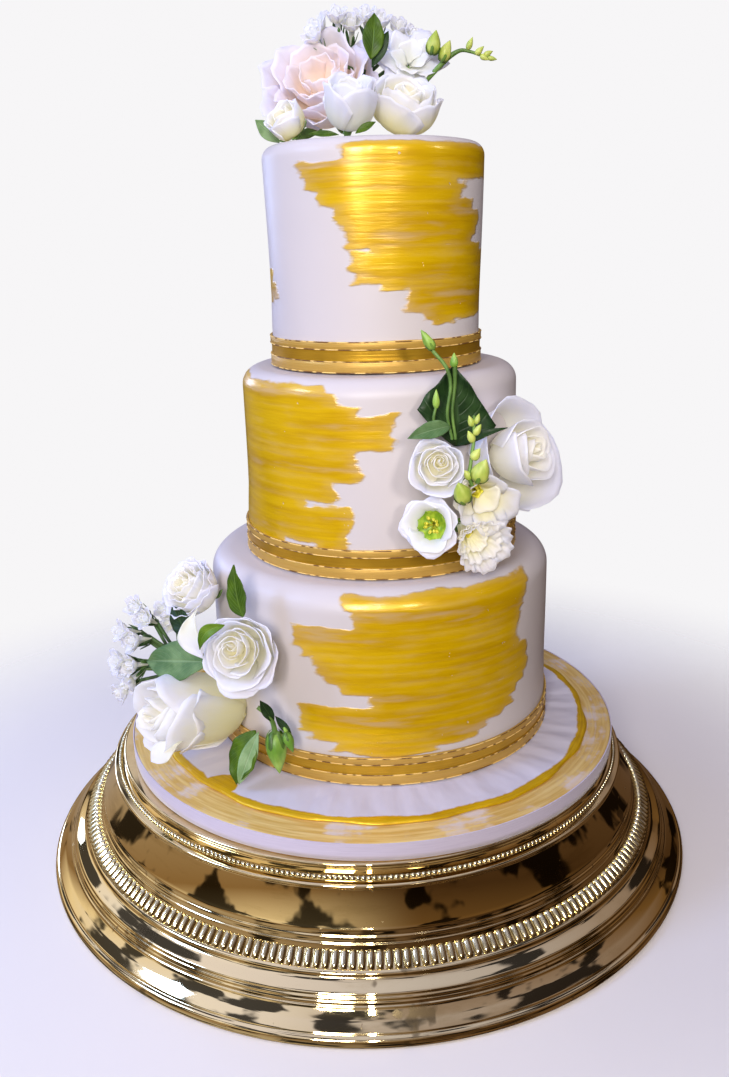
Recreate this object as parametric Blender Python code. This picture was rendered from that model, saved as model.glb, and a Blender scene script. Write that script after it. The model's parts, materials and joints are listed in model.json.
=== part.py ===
"""Three-tier wedding cake with gold brushwork, ribbons and fresh flowers, on its round metal stand.

Metres, +Z up. The origin is the middle of the stand's base on the surface it stands on.
The front of the cake faces -Y. Sizes below are named in millimetres and turned to metres once.
"""
import math

import bmesh
import bpy
from mathutils import Matrix, Vector

MM = 0.001
GAP = 0.3

# Stand: half section of a spun metal drum, from the foot up to the plate (radius, height)
STAND_SEGMENTS = 48
STAND_FOOT = ((0.0, 0.0), (236.3, 0.0), (237.5, 1.4), (237.5, 4.6), (236.0, 6.6), (234.4, 7.6))
STAND_SKIRT = ((229.0, 12.0), (224.6, 16.4))
STAND_LOW_GROOVES = ((223.6, 19.4), (221.8, 21.4), (220.0, 24.1))
STAND_SHOULDER = ((212.8, 28.0), (212.3, 30.2), (210.4, 31.0))
STAND_SEAT = ((201.6, 38.2),)
STAND_UPPER_GROOVES = ((200.9, 41.4), (199.8, 45.2), (198.1, 49.8))
STAND_DRUM = ((188.7, 69.4), (189.3, 70.9), (188.4, 72.0))
STAND_BEAD_LEDGE = ((181.4, 72.0), (180.6, 77.4))
STAND_PLATE = ((181.6, 78.9), (181.9, 80.6), (180.8, 81.4), (0.0, 81.4))
RIB_BAND_HEIGHT = 3.3
BEAD_RING_RADIUS = 184.6
BEAD_RADIUS = 1.9

# Boards: a ribboned drum board, and a thinner iced disc with a wavy gold edge on it
BOARD_CENTRE = (4.4, -1.5)
BOARD_BASE = 81.7
BOARD_TOP = 93.3
BOARD_RADIUS = 177.0
BOARD_RIBBON = 0.6
DISC_CENTRE = (7.0, -4.0)
DISC_RADIUS = 156.5
DISC_TOP = 96.0
DISC_WAVE = 1.4

# Tiers: centre, base, top, radius at the ribbon, radius under the top edge, edge rounding, segments
TIERS = {
    "bottom": {"centre": (12.0, 2.0), "base": 96.3, "top": 227.2, "low": 121.6, "high": 120.3, "edge": 15.0, "n": 48},
    "middle": {"centre": (14.0, 0.5), "base": 227.5, "top": 353.2, "low": 94.2, "high": 93.4, "edge": 12.0, "n": 40},
    "top": {"centre": (12.5, 0.5), "base": 353.5, "top": 491.0, "low": 69.6, "high": 71.6, "edge": 8.5, "n": 32},
}
RIBBON_HEIGHT = 19.4
RIBBON_LOWER_STRIPE = 7.3
RIBBON_UPPER_STRIPE = 5.0
RIBBON_STRIPE_THICKNESS = 1.3
RIBBON_CENTRE_THICKNESS = 0.7

# Flower sections: (radius, height, how far the gaps between petals cut in), from the calyx to the heart
ROSE = ((0.0, -1.0, 0.0), (0.18, -0.94, 0.0), (0.50, -0.66, 0.0), (0.82, -0.16, 0.0), (1.0, 0.34, 0.10),
        (0.85, 0.32, 0.06), (0.80, 0.60, 0.08), (0.61, 0.50, 0.03), (0.55, 0.76, 0.08), (0.36, 0.64, 0.0),
        (0.28, 0.82, 0.08), (0.0, 0.70, 0.0))
CUP = ((0.0, -1.0, 0.0), (0.40, -0.86, 0.0), (0.86, -0.40, 0.0), (1.0, 0.25, 0.06), (0.82, 0.90, 0.10),
       (0.66, 0.80, 0.06), (0.50, 0.40, 0.0), (0.0, 0.30, 0.0))
TRUMPET = ((0.0, -1.0, 0.0), (0.12, -0.98, 0.0), (0.22, -0.45, 0.0), (0.60, 0.0, 0.05), (1.0, 0.40, 0.24),
           (0.97, 0.52, 0.24), (0.55, 0.14, 0.05), (0.18, -0.10, 0.0), (0.0, -0.16, 0.0))
FLORET = ((0.0, -1.0, 0.0), (0.14, -0.97, 0.0), (0.22, 0.0, 0.0), (1.0, 0.40, 0.42), (0.90, 0.66, 0.42),
          (0.30, 0.46, 0.0), (0.0, 0.40, 0.0))
BUD = ((0.0, -1.0, 0.0), (0.55, -0.72, 0.0), (1.0, -0.12, 0.06), (0.62, 0.55, 0.06), (0.0, 1.0, 0.0))

# Flower heads: section, centre, facing direction, radius, half depth, petals, turn in degrees, segments, colour
FLOWERS = {
    "rose_top_large": (ROSE, (-18, 4, 528), (-0.15, -0.62, 0.75), 33, 27, 5, 20, 20, "blush"),
    "rose_top_cup": (CUP, (-1, -45, 511.5), (0.1, -0.35, 0.9), 15.5, 16, 5, 0, 14, "white"),
    "rose_top_cream": (ROSE, (33, -30, 509.5), (0.2, -0.45, 0.85), 20, 15.5, 5, 40, 16, "cream"),
    "lisianthus_top": (TRUMPET, (36, 2, 540), (0.18, -0.85, 0.48), 21, 12, 6, 10, 18, "white"),
    "lisianthus_top_small": (CUP, (-41.5, -26, 503.8), (-0.6, -0.5, 0.6), 10, 9, 5, 0, 10, "cream"),
    "rose_middle_large": (ROSE, (108, -65, 298), (0.50, -0.85, 0.15), 34, 19, 5, 15, 20, "cream"),
    "rose_middle_small": (ROSE, (45.5, -113, 304), (-0.05, -0.96, 0.26), 18.5, 13, 5, 50, 16, "cream"),
    "lisianthus_middle": (TRUMPET, (40, -117, 266), (-0.10, -0.98, 0.10), 20, 13, 6, 0, 18, "white"),
    "freesia_middle_upper": (TRUMPET, (76, -112, 277), (0.05, -0.95, -0.05), 18, 17, 6, 20, 18, "cream"),
    "freesia_middle_lower": (TRUMPET, (77, -104, 248), (0.15, -0.85, 0.20), 17, 14, 6, 0, 18, "cream"),
    "rose_bottom_upper": (ROSE, (-115, -64, 213), (-0.50, -0.62, 0.58), 19.5, 15, 5, 0, 16, "cream"),
    "rose_bottom_right": (ROSE, (-78, -115, 184), (-0.30, -0.90, 0.30), 23, 16, 5, 30, 18, "cream"),
    "rose_bottom_large": (ROSE, (-123, -84, 126), (-0.95, -0.26, 0.12), 26.5, 38, 5, 10, 20, "cream"),
}

# Small star-shaped florets: centre and facing direction
FLORET_RADIUS = 8.0
FLORET_DEPTH = 9.0
FLORETS = {
    "floret_top_a": ((-19, 20, 561), (-0.5, -0.3, 0.8)),
    "floret_top_b": ((-7, 14, 565.5), (-0.2, -0.3, 0.9)),
    "floret_top_c": ((12, 20, 565.5), (0.1, -0.3, 0.9)),
    "floret_top_d": ((36, 24, 560), (0.3, -0.2, 0.9)),
    "floret_side_a": ((-156, -44, 193), (-0.7, -0.2, 0.7)),
    "floret_side_b": ((-162, -60, 182), (-0.9, -0.3, 0.4)),
    "floret_side_c": ((-166, -40, 174), (-0.9, -0.2, 0.3)),
    "floret_side_d": ((-165, -66, 163), (-0.9, -0.4, 0.1)),
    "floret_side_e": ((-170, -44, 153), (-1.0, -0.2, 0.0)),
    "floret_side_f": ((-165, -62, 141), (-0.9, -0.3, -0.2)),
    "floret_side_g": ((-139, -30, 186), (-0.6, -0.5, 0.7)),
}

# Closed buds: centre, direction, radius, half length
BUDS = {
    "bud_freesia_top_a": ((51.5, -10, 547.5), (0.2, -0.2, 1.0), 4.4, 7.0),
    "bud_freesia_top_b": ((60.5, -8, 543), (0.5, -0.2, 0.9), 3.8, 6.5),
    "bud_freesia_middle_a": ((73, -118, 302.5), (0.3, -0.3, 0.9), 5.4, 8.0),
    "bud_freesia_middle_b": ((58.5, -127, 290), (-0.3, -0.3, 0.8), 5.0, 8.0),
    "bud_lisianthus_tip": ((41, -103, 377), (-0.55, -0.1, 0.9), 3.3, 8.0),
    "bud_bottom_large": ((-57, -120, 119), (0.05, -0.15, 1.0), 6.8, 13.0),
    "bud_bottom_small": ((-48.5, -124, 134), (0.35, -0.2, -1.0), 3.4, 6.5),
}

# Leaves: base, tip, direction that the upper face looks, width, bow, fold along the midrib, place of the widest part
LEAVES = {
    "leaf_top": ((12.5, -16, 538), (15, -12, 564), (0.2, -0.9, 0.3), 12.5, 2.0, 0.15, 0.45),
    "leaf_top_side": ((-47, -12, 494), (-60, -16, 505), (-0.3, -0.8, 0.5), 9.0, 1.0, 0.1, 0.5),
    "leaf_middle_large": ((60, -92, 309), (56.5, -95, 361), (0.3, -0.95, 0.15), 46.0, 3.0, 0.12, 0.34),
    "leaf_middle_small": ((53, -104, 327), (28, -118, 325.5), (0.1, -0.85, 0.5), 11.5, 1.5, 0.15, 0.5),
    "leaf_bottom_large": ((-104, -94, 174), (-147, -66, 163), (-0.3, -0.8, 0.5), 26.0, 3.0, 0.12, 0.45),
    "leaf_bottom_tall": ((-75, -113, 209), (-78, -103, 242), (-0.5, -0.8, 0.1), 12.0, 2.0, 0.2, 0.4),
    "leaf_bottom_curled": ((-108, -104, 190), (-90, -104, 206), (-0.3, -0.8, 0.5), 9.0, 2.0, 0.2, 0.5),
    "leaf_bottom_low": ((-71, -113, 134), (-84, -121, 100), (-0.5, -0.7, 0.5), 24.0, 3.0, 0.15, 0.45),
}

# Stems with swellings: points along the stem, each with its radius
STEMS = {
    "sprig_freesia_top": (((54, -6, 524), 1.3), ((60, -5, 533), 1.4), ((68, -6, 543), 1.3), ((75, -6, 542.5), 1.9),
                          ((81, -6, 540.5), 2.6), ((87, -6, 539.5), 1.9), ((91, -6, 539), 0.8)),
    "sprig_freesia_middle": (((66, -116, 293), 1.2), ((64, -116, 299), 2.6), ((65, -115, 306), 1.4),
                             ((66, -114, 313), 3.0), ((67, -113, 320), 1.4), ((67, -112, 328), 3.4), ((67, -112, 334), 0.8)),
    "stem_lisianthus_a": (((56, -104, 342), 1.1), ((55, -105, 352), 1.2), ((51.5, -105, 361), 1.2), ((45.5, -104, 368.5), 1.1)),
    "stem_lisianthus_b": (((59.5, -104, 342), 1.1), ((60, -104, 356), 1.4), ((59.5, -104, 363), 3.2), ((59, -104, 369), 1.0)),
    "sprig_bottom": (((-68, -118, 153), 3.0), ((-63, -119, 146), 1.6), ((-60, -119, 139), 1.5), ((-58, -119.5, 133), 2.6)),
}

COLOURS = {
    "gold_metal": ((0.62, 0.44, 0.16), 0.16, 1.0),
    "gold_paint": ((0.72, 0.48, 0.06), 0.35, 0.8),
    "ribbon_gold": ((0.66, 0.45, 0.16), 0.45, 0.6),
    "board_ribbon": ((0.62, 0.56, 0.70), 0.45, 0.0),
    "gold_wash": ((0.78, 0.60, 0.26), 0.55, 0.3),
    "fondant": ((0.80, 0.75, 0.78), 0.55, 0.0),
    "blush": ((0.88, 0.76, 0.72), 0.6, 0.0),
    "white": ((0.86, 0.85, 0.88), 0.6, 0.0),
    "cream": ((0.86, 0.84, 0.70), 0.6, 0.0),
    "leaf": ((0.10, 0.25, 0.06), 0.5, 0.0),
    "bud": ((0.35, 0.50, 0.10), 0.5, 0.0),
}


def clear_scene():
    """Removes whatever the file holds, so that the model starts from nothing."""
    for item in list(bpy.data.objects):
        bpy.data.objects.remove(item, do_unlink=True)


def material(name):
    """One Principled material for each colour named above."""
    found = bpy.data.materials.get(name)
    if found:
        return found
    colour, roughness, metallic = COLOURS[name]
    made = bpy.data.materials.new(name)
    made.use_nodes = True
    shader = made.node_tree.nodes["Principled BSDF"]
    shader.inputs["Base Color"].default_value = (*colour, 1.0)
    shader.inputs["Roughness"].default_value = roughness
    shader.inputs["Metallic"].default_value = metallic
    return made


def add_object(name, bm, colour, smooth_angle=40.0):
    """Turns a bmesh in millimetres into a named object in metres."""
    bmesh.ops.scale(bm, vec=(MM, MM, MM), verts=bm.verts)
    bmesh.ops.recalc_face_normals(bm, faces=bm.faces)
    mesh = bpy.data.meshes.new(name)
    bm.to_mesh(mesh)
    bm.free()
    mesh.shade_smooth()
    mesh.set_sharp_from_angle(angle=math.radians(smooth_angle))
    mesh.materials.append(material(colour))
    made = bpy.data.objects.new(name, mesh)
    bpy.context.scene.collection.objects.link(made)
    return made


def turned(section, segments, shape=None, closed=False):
    """Turns a half section about Z. A radius of zero is a pole; a closed section makes a ring."""
    bm = bmesh.new()
    rows = []
    for k, point in enumerate(section):
        if point[0] == 0.0:
            rows.append([bm.verts.new((0.0, 0.0, point[1]))])
            continue
        row = []
        for i in range(segments):
            angle = 2.0 * math.pi * i / segments
            radius, height = shape(k, angle) if shape else (point[0], point[1])
            row.append(bm.verts.new((radius * math.cos(angle), radius * math.sin(angle), height)))
        rows.append(row)
    pairs = list(zip(rows, rows[1:]))
    if closed:
        pairs.append((rows[-1], rows[0]))
    for low, high in pairs:
        for i in range(segments):
            j = (i + 1) % segments
            if len(low) == 1:
                bm.faces.new((low[0], high[j], high[i]))
            elif len(high) == 1:
                bm.faces.new((low[i], low[j], high[0]))
            else:
                bm.faces.new((low[i], low[j], high[j], high[i]))
    return bm


def place(made, centre):
    """Moves an object to a centre named in millimetres."""
    made.location = Vector(centre) * MM


def make_stand():
    """The stand's turned body: foot, skirt, grooves, shoulder, sloping drum, ledge and plate."""
    section = (STAND_FOOT + STAND_SKIRT + STAND_LOW_GROOVES + STAND_SHOULDER + STAND_SEAT
               + STAND_UPPER_GROOVES + STAND_DRUM + STAND_BEAD_LEDGE + STAND_PLATE)
    add_object("stand_body", turned(section, STAND_SEGMENTS), "gold_metal", 30.0)


def make_rib_band():
    """The rounded band of upright ribs that lies on the sloping seat of the stand."""
    low = Vector(STAND_SHOULDER[-1])
    high = Vector(STAND_SEAT[0])
    along = (high - low).normalized()
    outward = Vector((-along.y, along.x))
    if outward.y < 0.0:
        outward = -outward
    length = (high - low).length
    inset = 0.6
    section = []
    for share, rise in ((0.0, 0.5), (0.10, 0.80), (0.35, 1.0), (0.70, 0.95), (0.92, 0.75), (1.0, 0.4)):
        point = low + along * (inset + share * (length - 2.0 * inset)) + outward * (GAP + rise * RIB_BAND_HEIGHT)
        section.append((point.x, point.y))
    for share in (1.0, 0.0):
        point = low + along * (inset + share * (length - 2.0 * inset)) + outward * GAP
        section.append((point.x, point.y))
    add_object("stand_rib_band", turned(section, STAND_SEGMENTS, closed=True), "gold_metal", 50.0)


def make_bead_ring():
    """The ring of fine beads above the drum, round in section."""
    sides = 6
    height = STAND_BEAD_LEDGE[0][1] + GAP + BEAD_RADIUS
    section = []
    for k in range(sides):
        angle = 2.0 * math.pi * (k + 0.5) / sides - 0.5 * math.pi
        section.append((BEAD_RING_RADIUS + BEAD_RADIUS * math.cos(angle), height + BEAD_RADIUS * math.sin(angle)))
    add_object("stand_bead_ring", turned(section, STAND_SEGMENTS, closed=True), "gold_metal", 80.0)


def make_boards():
    """The drum board, its ribbon, and the iced disc with the wavy gold edge."""
    bevel = 0.8
    drum = ((0.0, BOARD_BASE), (BOARD_RADIUS - bevel, BOARD_BASE), (BOARD_RADIUS, BOARD_BASE + bevel),
            (BOARD_RADIUS, BOARD_TOP - bevel), (BOARD_RADIUS - bevel, BOARD_TOP), (0.0, BOARD_TOP))
    place(add_object("board_drum", turned(drum, STAND_SEGMENTS), "gold_wash"), (*BOARD_CENTRE, 0.0))
    inner = BOARD_RADIUS + GAP
    outer = inner + BOARD_RIBBON
    ribbon = ((outer, BOARD_BASE + 0.2), (outer, BOARD_TOP + 0.1), (inner, BOARD_TOP + 0.1), (inner, BOARD_BASE + 0.2))
    band = add_object("board_ribbon", turned(ribbon, STAND_SEGMENTS, closed=True), "board_ribbon")
    place(band, (*BOARD_CENTRE, 0.0))
    low = BOARD_TOP + GAP
    disc = ((0.0, low), (DISC_RADIUS - 0.8, low), (DISC_RADIUS, low + 0.9), (DISC_RADIUS - 0.9, DISC_TOP), (0.0, DISC_TOP))

    def wavy(k, angle):
        radius, height = disc[k]
        wave = 0.6 * math.sin(11.0 * angle + 0.7) + 0.4 * math.sin(23.0 * angle + 2.0)
        return radius + DISC_WAVE * wave, height

    place(add_object("board_iced_disc", turned(disc, 60, wavy), "fondant"), (*DISC_CENTRE, 0.0))


def tier_section(tier):
    """Half section of one iced tier: straight at the ribbon, then a soft taper and a rounded top edge."""
    base, top, low, high, edge = tier["base"], tier["top"], tier["low"], tier["high"], tier["edge"]
    section = [(0.0, base), (low, base), (low, base + RIBBON_HEIGHT + 4.0), (high, top - edge)]
    for degrees in (30.0, 60.0, 90.0):
        angle = math.radians(degrees)
        section.append((high - edge + edge * math.cos(angle), top - edge + edge * math.sin(angle)))
    section.append((0.0, top))
    return section


def ribbon_section(tier):
    """Section of the ribbon: two raised edge stripes with the satin band between them."""
    inner = tier["low"] + GAP
    thick = inner + RIBBON_STRIPE_THICKNESS
    thin = inner + RIBBON_CENTRE_THICKNESS
    low = tier["base"] + GAP
    high = low + RIBBON_HEIGHT
    return [(thick, low), (thick, low + RIBBON_LOWER_STRIPE), (thin, low + RIBBON_LOWER_STRIPE + 0.3),
            (thin, high - RIBBON_UPPER_STRIPE - 0.3), (thick, high - RIBBON_UPPER_STRIPE), (thick, high),
            (inner, high), (inner, low)]


def make_tiers():
    """The three iced tiers and the ribbon round the foot of each."""
    for name, tier in TIERS.items():
        body = add_object("tier_" + name, turned(tier_section(tier), tier["n"]), "fondant", 60.0)
        place(body, (*tier["centre"], 0.0))
        ring = add_object("ribbon_" + name, turned(ribbon_section(tier), tier["n"], closed=True), "ribbon_gold")
        place(ring, (*tier["centre"], 0.0))


def blossom(name, section, centre, facing, radius, depth, petals, turn, segments, colour):
    """A flower head as one closed solid: the section turned about the facing direction, with petal gaps."""
    def petal(k, angle):
        size, height, cut = section[k]
        phase = angle * petals + k * 0.9
        gap = (0.5 - 0.5 * math.cos(phase)) ** 1.5
        return radius * size * (1.0 - cut * gap), depth * (height - 0.35 * cut * gap)

    scaled = [(radius * size, depth * height) for size, height, cut in section]
    bm = turned(scaled, segments, petal)
    aim = Vector(facing).normalized().to_track_quat("Z", "Y").to_matrix().to_4x4()
    spin = Matrix.Rotation(math.radians(turn), 4, "Z")
    bmesh.ops.transform(bm, matrix=aim @ spin, verts=bm.verts)
    place(add_object(name, bm, colour, 50.0), centre)


def make_flowers():
    """Roses, lisianthus and freesias, the small florets, and the closed buds."""
    for name, values in FLOWERS.items():
        blossom(name, *values)
    for name, (centre, facing) in FLORETS.items():
        blossom(name, FLORET, centre, facing, FLORET_RADIUS, FLORET_DEPTH, 4, 0.0, 8, "white")
    for name, (centre, facing, radius, length) in BUDS.items():
        blossom(name, BUD, centre, facing, radius, length, 5, 0.0, 8, "bud")


def make_leaf(name, base, tip, facing, width, bow, fold, widest):
    """A thin wavy leaf; both faces are split into the same triangles."""
    thickness = 0.7
    rows = 6
    start = Vector(base)
    along = Vector(tip) - start
    side = along.cross(Vector(facing)).normalized()
    normal = side.cross(along).normalized()
    bm = bmesh.new()
    power = math.log(0.5) / math.log(widest)
    faces = []
    for offset in (0.0, -thickness):
        grid = []
        for i in range(rows + 1):
            share = i / rows
            half = 0.5 * width * max(0.05, math.sin(math.pi * share ** power) ** 0.9)
            middle = start + along * share + normal * (bow * math.sin(math.pi * share) + offset)
            lift = normal * (fold * half + 0.06 * width * math.sin(9.0 * share))
            grid.append([bm.verts.new(point) for point in
                         (middle - side * half + lift, middle, middle + side * half + lift)])
        faces.append(grid)
    for grid, flip in zip(faces, (False, True)):
        for low, high in zip(grid, grid[1:]):
            for c in range(2):
                for corners in ((low[c], low[c + 1], high[c + 1]), (low[c], high[c + 1], high[c])):
                    bm.faces.new(corners[::-1] if flip else corners)
    rims = []
    for grid in faces:
        left = [row[0] for row in grid]
        right = [row[2] for row in grid]
        rims.append(left + [grid[-1][1]] + right[::-1] + [grid[0][1]])
    count = len(rims[0])
    for i in range(count):
        j = (i + 1) % count
        bm.faces.new((rims[0][i], rims[0][j], rims[1][j], rims[1][i]))
    bmesh.ops.triangulate(bm, faces=[face for face in bm.faces if len(face.verts) > 3])
    add_object(name, bm, "leaf", 60.0)


def make_stem(name, knots):
    """A stem or sprig as one tube that swells where a bud sits."""
    sides = 6
    points = [Vector(point) for point, radius in knots]
    bm = bmesh.new()
    rings = []
    for i, (point, radius) in enumerate(knots):
        before = points[max(i - 1, 0)]
        after = points[min(i + 1, len(points) - 1)]
        frame = (after - before).to_track_quat("Z", "Y").to_matrix()
        ring = []
        for s in range(sides):
            angle = 2.0 * math.pi * s / sides
            ring.append(bm.verts.new(points[i] + frame @ Vector((radius * math.cos(angle), radius * math.sin(angle), 0.0))))
        rings.append(ring)
    for low, high in zip(rings, rings[1:]):
        for s in range(sides):
            t = (s + 1) % sides
            bm.faces.new((low[s], low[t], high[t], high[s]))
    bm.faces.new(rings[0][::-1])
    bm.faces.new(rings[-1])
    add_object(name, bm, "bud", 60.0)


def make_greenery():
    """Leaves and stems between the flowers."""
    for name, values in LEAVES.items():
        make_leaf(name, *values)
    for name, knots in STEMS.items():
        make_stem(name, knots)


def main():
    clear_scene()
    make_stand()
    make_rib_band()
    make_bead_ring()
    make_boards()
    make_tiers()
    make_flowers()
    make_greenery()


main()
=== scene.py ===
# %% [markdown]
# # A three-tier wedding cake on its metal stand
# The object is a round cake in three iced tiers, with brushed gold paint, gold ribbons and fresh flowers.
# It stands on an iced board, and the board on a stepped, mirror-bright stand.
# The stand carries a ring of ribs and a ring of beads.
# This lesson dresses a packed engineering model of it: each plain solid is replaced by a finely made piece.
# The object's sizes are named in millimetres and become metres only when a mesh is made.

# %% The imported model
import json
import math

import bmesh
import bpy
import numpy as np
from mathutils import Matrix, Vector

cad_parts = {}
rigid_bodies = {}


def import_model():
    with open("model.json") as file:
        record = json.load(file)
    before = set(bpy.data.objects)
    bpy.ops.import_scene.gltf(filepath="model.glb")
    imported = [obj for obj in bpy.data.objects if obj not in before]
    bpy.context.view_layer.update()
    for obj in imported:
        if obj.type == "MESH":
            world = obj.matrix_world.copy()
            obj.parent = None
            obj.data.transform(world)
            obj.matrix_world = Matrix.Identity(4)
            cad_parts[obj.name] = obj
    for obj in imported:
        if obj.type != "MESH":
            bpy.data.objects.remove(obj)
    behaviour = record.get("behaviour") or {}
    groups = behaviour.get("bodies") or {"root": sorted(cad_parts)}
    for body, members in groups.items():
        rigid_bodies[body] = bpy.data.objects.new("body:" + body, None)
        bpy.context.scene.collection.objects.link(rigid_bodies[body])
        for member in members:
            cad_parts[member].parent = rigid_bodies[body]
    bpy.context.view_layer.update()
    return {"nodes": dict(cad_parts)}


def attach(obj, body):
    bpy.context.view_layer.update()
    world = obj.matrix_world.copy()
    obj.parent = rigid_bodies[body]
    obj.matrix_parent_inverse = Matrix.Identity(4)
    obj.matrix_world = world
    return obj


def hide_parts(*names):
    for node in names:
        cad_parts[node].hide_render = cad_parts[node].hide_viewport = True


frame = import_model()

MM = 0.001
print("The packed model has", len(frame["nodes"]), "nodes")

# %% [markdown]
# ## Small helpers
# Every mesh, lamp and camera becomes an object in the same way.
# The frame is told the same things of each piece: what it rides on and what it stands for.
# Node trees of all kinds, for materials, geometry and the world, get their nodes through one function.

# %% Objects and nodes
def add_object(name, data):
    """Makes an object of a mesh, lamp or camera and puts it into the scene."""
    made = bpy.data.objects.new(name, data)
    bpy.context.scene.collection.objects.link(made)
    return made


def present(made, node_names, slot_name):
    """Tells the frame what a finished piece rides on and stands for; slot_name, what it is made of, is not
    used.
    """
    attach(made, "root")
    if node_names:
        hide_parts(*node_names)
    return made


def node_adder(tree):
    """Returns a function that adds a node: its settings first, then its sockets' values or links."""
    def add(kind, settings=None, inputs=None):
        made = tree.nodes.new(kind)
        for key, value in (settings or {}).items():
            setattr(made, key, value)
        for key, value in (inputs or {}).items():
            if isinstance(value, bpy.types.NodeSocket):
                tree.links.new(value, made.inputs[key])
            else:
                made.inputs[key].default_value = value
        return made

    return add


print("Helpers are ready")

# %% [markdown]
# ## The camera
# The view was worked out from the circles of the stand and the tiers, which show as ellipses.
# A camera can be aimed with a constraint, but three axis vectors are exact and need nothing to follow.
# The small roll is part of the view, because the picture leans by about one degree.

# %% The camera
EYE = Vector((1.85, -666.33, 433.96))
PITCH = math.radians(17.3455)
ROLL = math.radians(-1.3071)
IMAGE_SIZE = (729, 1077)
FOCAL_PIXELS = 963.22
SENSOR = 36.0


def make_camera():
    """Places the camera from its eye point, pitch and roll."""
    forward = Vector((0.0, math.cos(PITCH), -math.sin(PITCH)))
    right = Vector((1.0, 0.0, 0.0))
    up = right.cross(forward)
    turned_right = right * math.cos(ROLL) + up * math.sin(ROLL)
    turned_up = up * math.cos(ROLL) - right * math.sin(ROLL)
    data = bpy.data.cameras.new("camera")
    data.sensor_width = SENSOR
    data.lens = FOCAL_PIXELS * SENSOR / max(IMAGE_SIZE)
    matrix = Matrix((turned_right, turned_up, -forward)).transposed().to_4x4()
    matrix.translation = EYE * MM
    made = add_object("camera", data)
    made.matrix_world = matrix
    bpy.context.scene.camera = made
    return made


camera = make_camera()
print("Lens", round(camera.data.lens, 2), "mm")

# %% [markdown]
# ## Shader maths as expressions
# A procedural finish is mostly arithmetic on coordinates and noise.
# Writing it with dozens of hand-placed Math nodes is hard to read, so one small class wraps a socket.
# Its operators add the Math nodes, and one method adds any other node.

# %% Shader sockets with operators
def operator(operation, swapped=False):
    """An arithmetic operator for the class below. Swapped puts the other number first."""
    def apply(self, other):
        pair = (other, self) if swapped else (self, other)
        return self.math(operation, *pair)

    return apply


class Value:
    """One output socket; arithmetic on it adds Math nodes to its material."""

    def __init__(self, finish, socket):
        self.finish = finish
        self.socket = socket

    def math(self, operation, *inputs):
        return self.finish.node("ShaderNodeMath", {"operation": operation}, inputs)

    __add__ = operator("ADD")
    __radd__ = operator("ADD", swapped=True)
    __sub__ = operator("SUBTRACT")
    __rsub__ = operator("SUBTRACT", swapped=True)
    __mul__ = operator("MULTIPLY")
    __rmul__ = operator("MULTIPLY", swapped=True)
    __truediv__ = operator("DIVIDE")
    __pow__ = operator("POWER")

    def absolute(self):
        return self.math("ABSOLUTE", self)

    def step(self, low, high):
        """0 below low and 1 above high, smooth in between."""
        settings = {"interpolation_type": "SMOOTHSTEP"}
        return self.finish.node("ShaderNodeMapRange", settings, (self, low, high, 0.0, 1.0))


class Finish:
    """One Principled material. Constants go on its sockets, and drive() links what varies."""

    def __init__(self, name, **constants):
        self.material = bpy.data.materials.new(name)
        self.material.use_nodes = True
        self.tree = self.material.node_tree
        self.add = node_adder(self.tree)
        self.shader = self.tree.nodes["Principled BSDF"]
        for key, value in constants.items():
            socket = self.shader.inputs[key.replace("_", " ").title().replace("Ior", "IOR")]
            socket.default_value = (*value, 1.0) if key == "base_color" else value

    def node(self, kind, settings=None, inputs=(), output=0):
        """Adds a node of any type and returns one of its outputs. The inputs may go by name or in order."""
        pairs = inputs.items() if isinstance(inputs, dict) else enumerate(inputs)
        plain = {key: value.socket if isinstance(value, Value) else value for key, value in pairs}
        return Value(self, self.add(kind, settings, plain).outputs[output])

    def place(self, scale=(1.0, 1.0, 1.0), centre=(0.0, 0.0, 0.0)):
        """Object coordinates, moved to a centre in metres and stretched."""
        coordinates = self.node("ShaderNodeTexCoord", output="Object")
        offset = tuple(-c * s for c, s in zip(centre, scale))
        inputs = {"Vector": coordinates, "Location": offset, "Scale": scale}
        return self.node("ShaderNodeMapping", {}, inputs)

    def noise(self, vector, scale, detail=3.0, roughness=0.55):
        inputs = {"Vector": vector, "Scale": scale, "Detail": detail, "Roughness": roughness}
        return self.node("ShaderNodeTexNoise", {}, inputs)

    def parts(self, vector):
        """The three numbers of a vector."""
        return [self.node("ShaderNodeSeparateXYZ", {}, (vector,), output=k) for k in range(3)]

    def mix(self, factor, first, second):
        """Mixes two colours, each a socket or three numbers."""
        colours = [c if isinstance(c, Value) else (*c, 1.0) for c in (first, second)]
        inputs = {0: factor, 6: colours[0], 7: colours[1]}
        return self.node("ShaderNodeMix", {"data_type": "RGBA"}, inputs, output=2)

    def attribute(self, name):
        return self.node("ShaderNodeAttribute", {"attribute_name": name}, output="Fac")

    def drive(self, socket, value):
        self.tree.links.new(value.socket, self.shader.inputs[socket])

    def bump(self, height, distance, strength=1.0):
        """Relief from a height between 0 and 1, with its real depth in metres."""
        inputs = {"Strength": strength, "Distance": distance, "Height": height}
        self.drive("Normal", self.node("ShaderNodeBump", {}, inputs))


print("Shader expressions are ready")

# %% [markdown]
# ## Meshes from grids of points
# Tiers, ribbons, petals and leaves are all rows of points joined by four-sided faces.
# NumPy works out a whole grid at once, and one builder gathers many grids into a single mesh.
# Each point also keeps a UV pair and one extra number, so that a finish can follow the surface.

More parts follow.
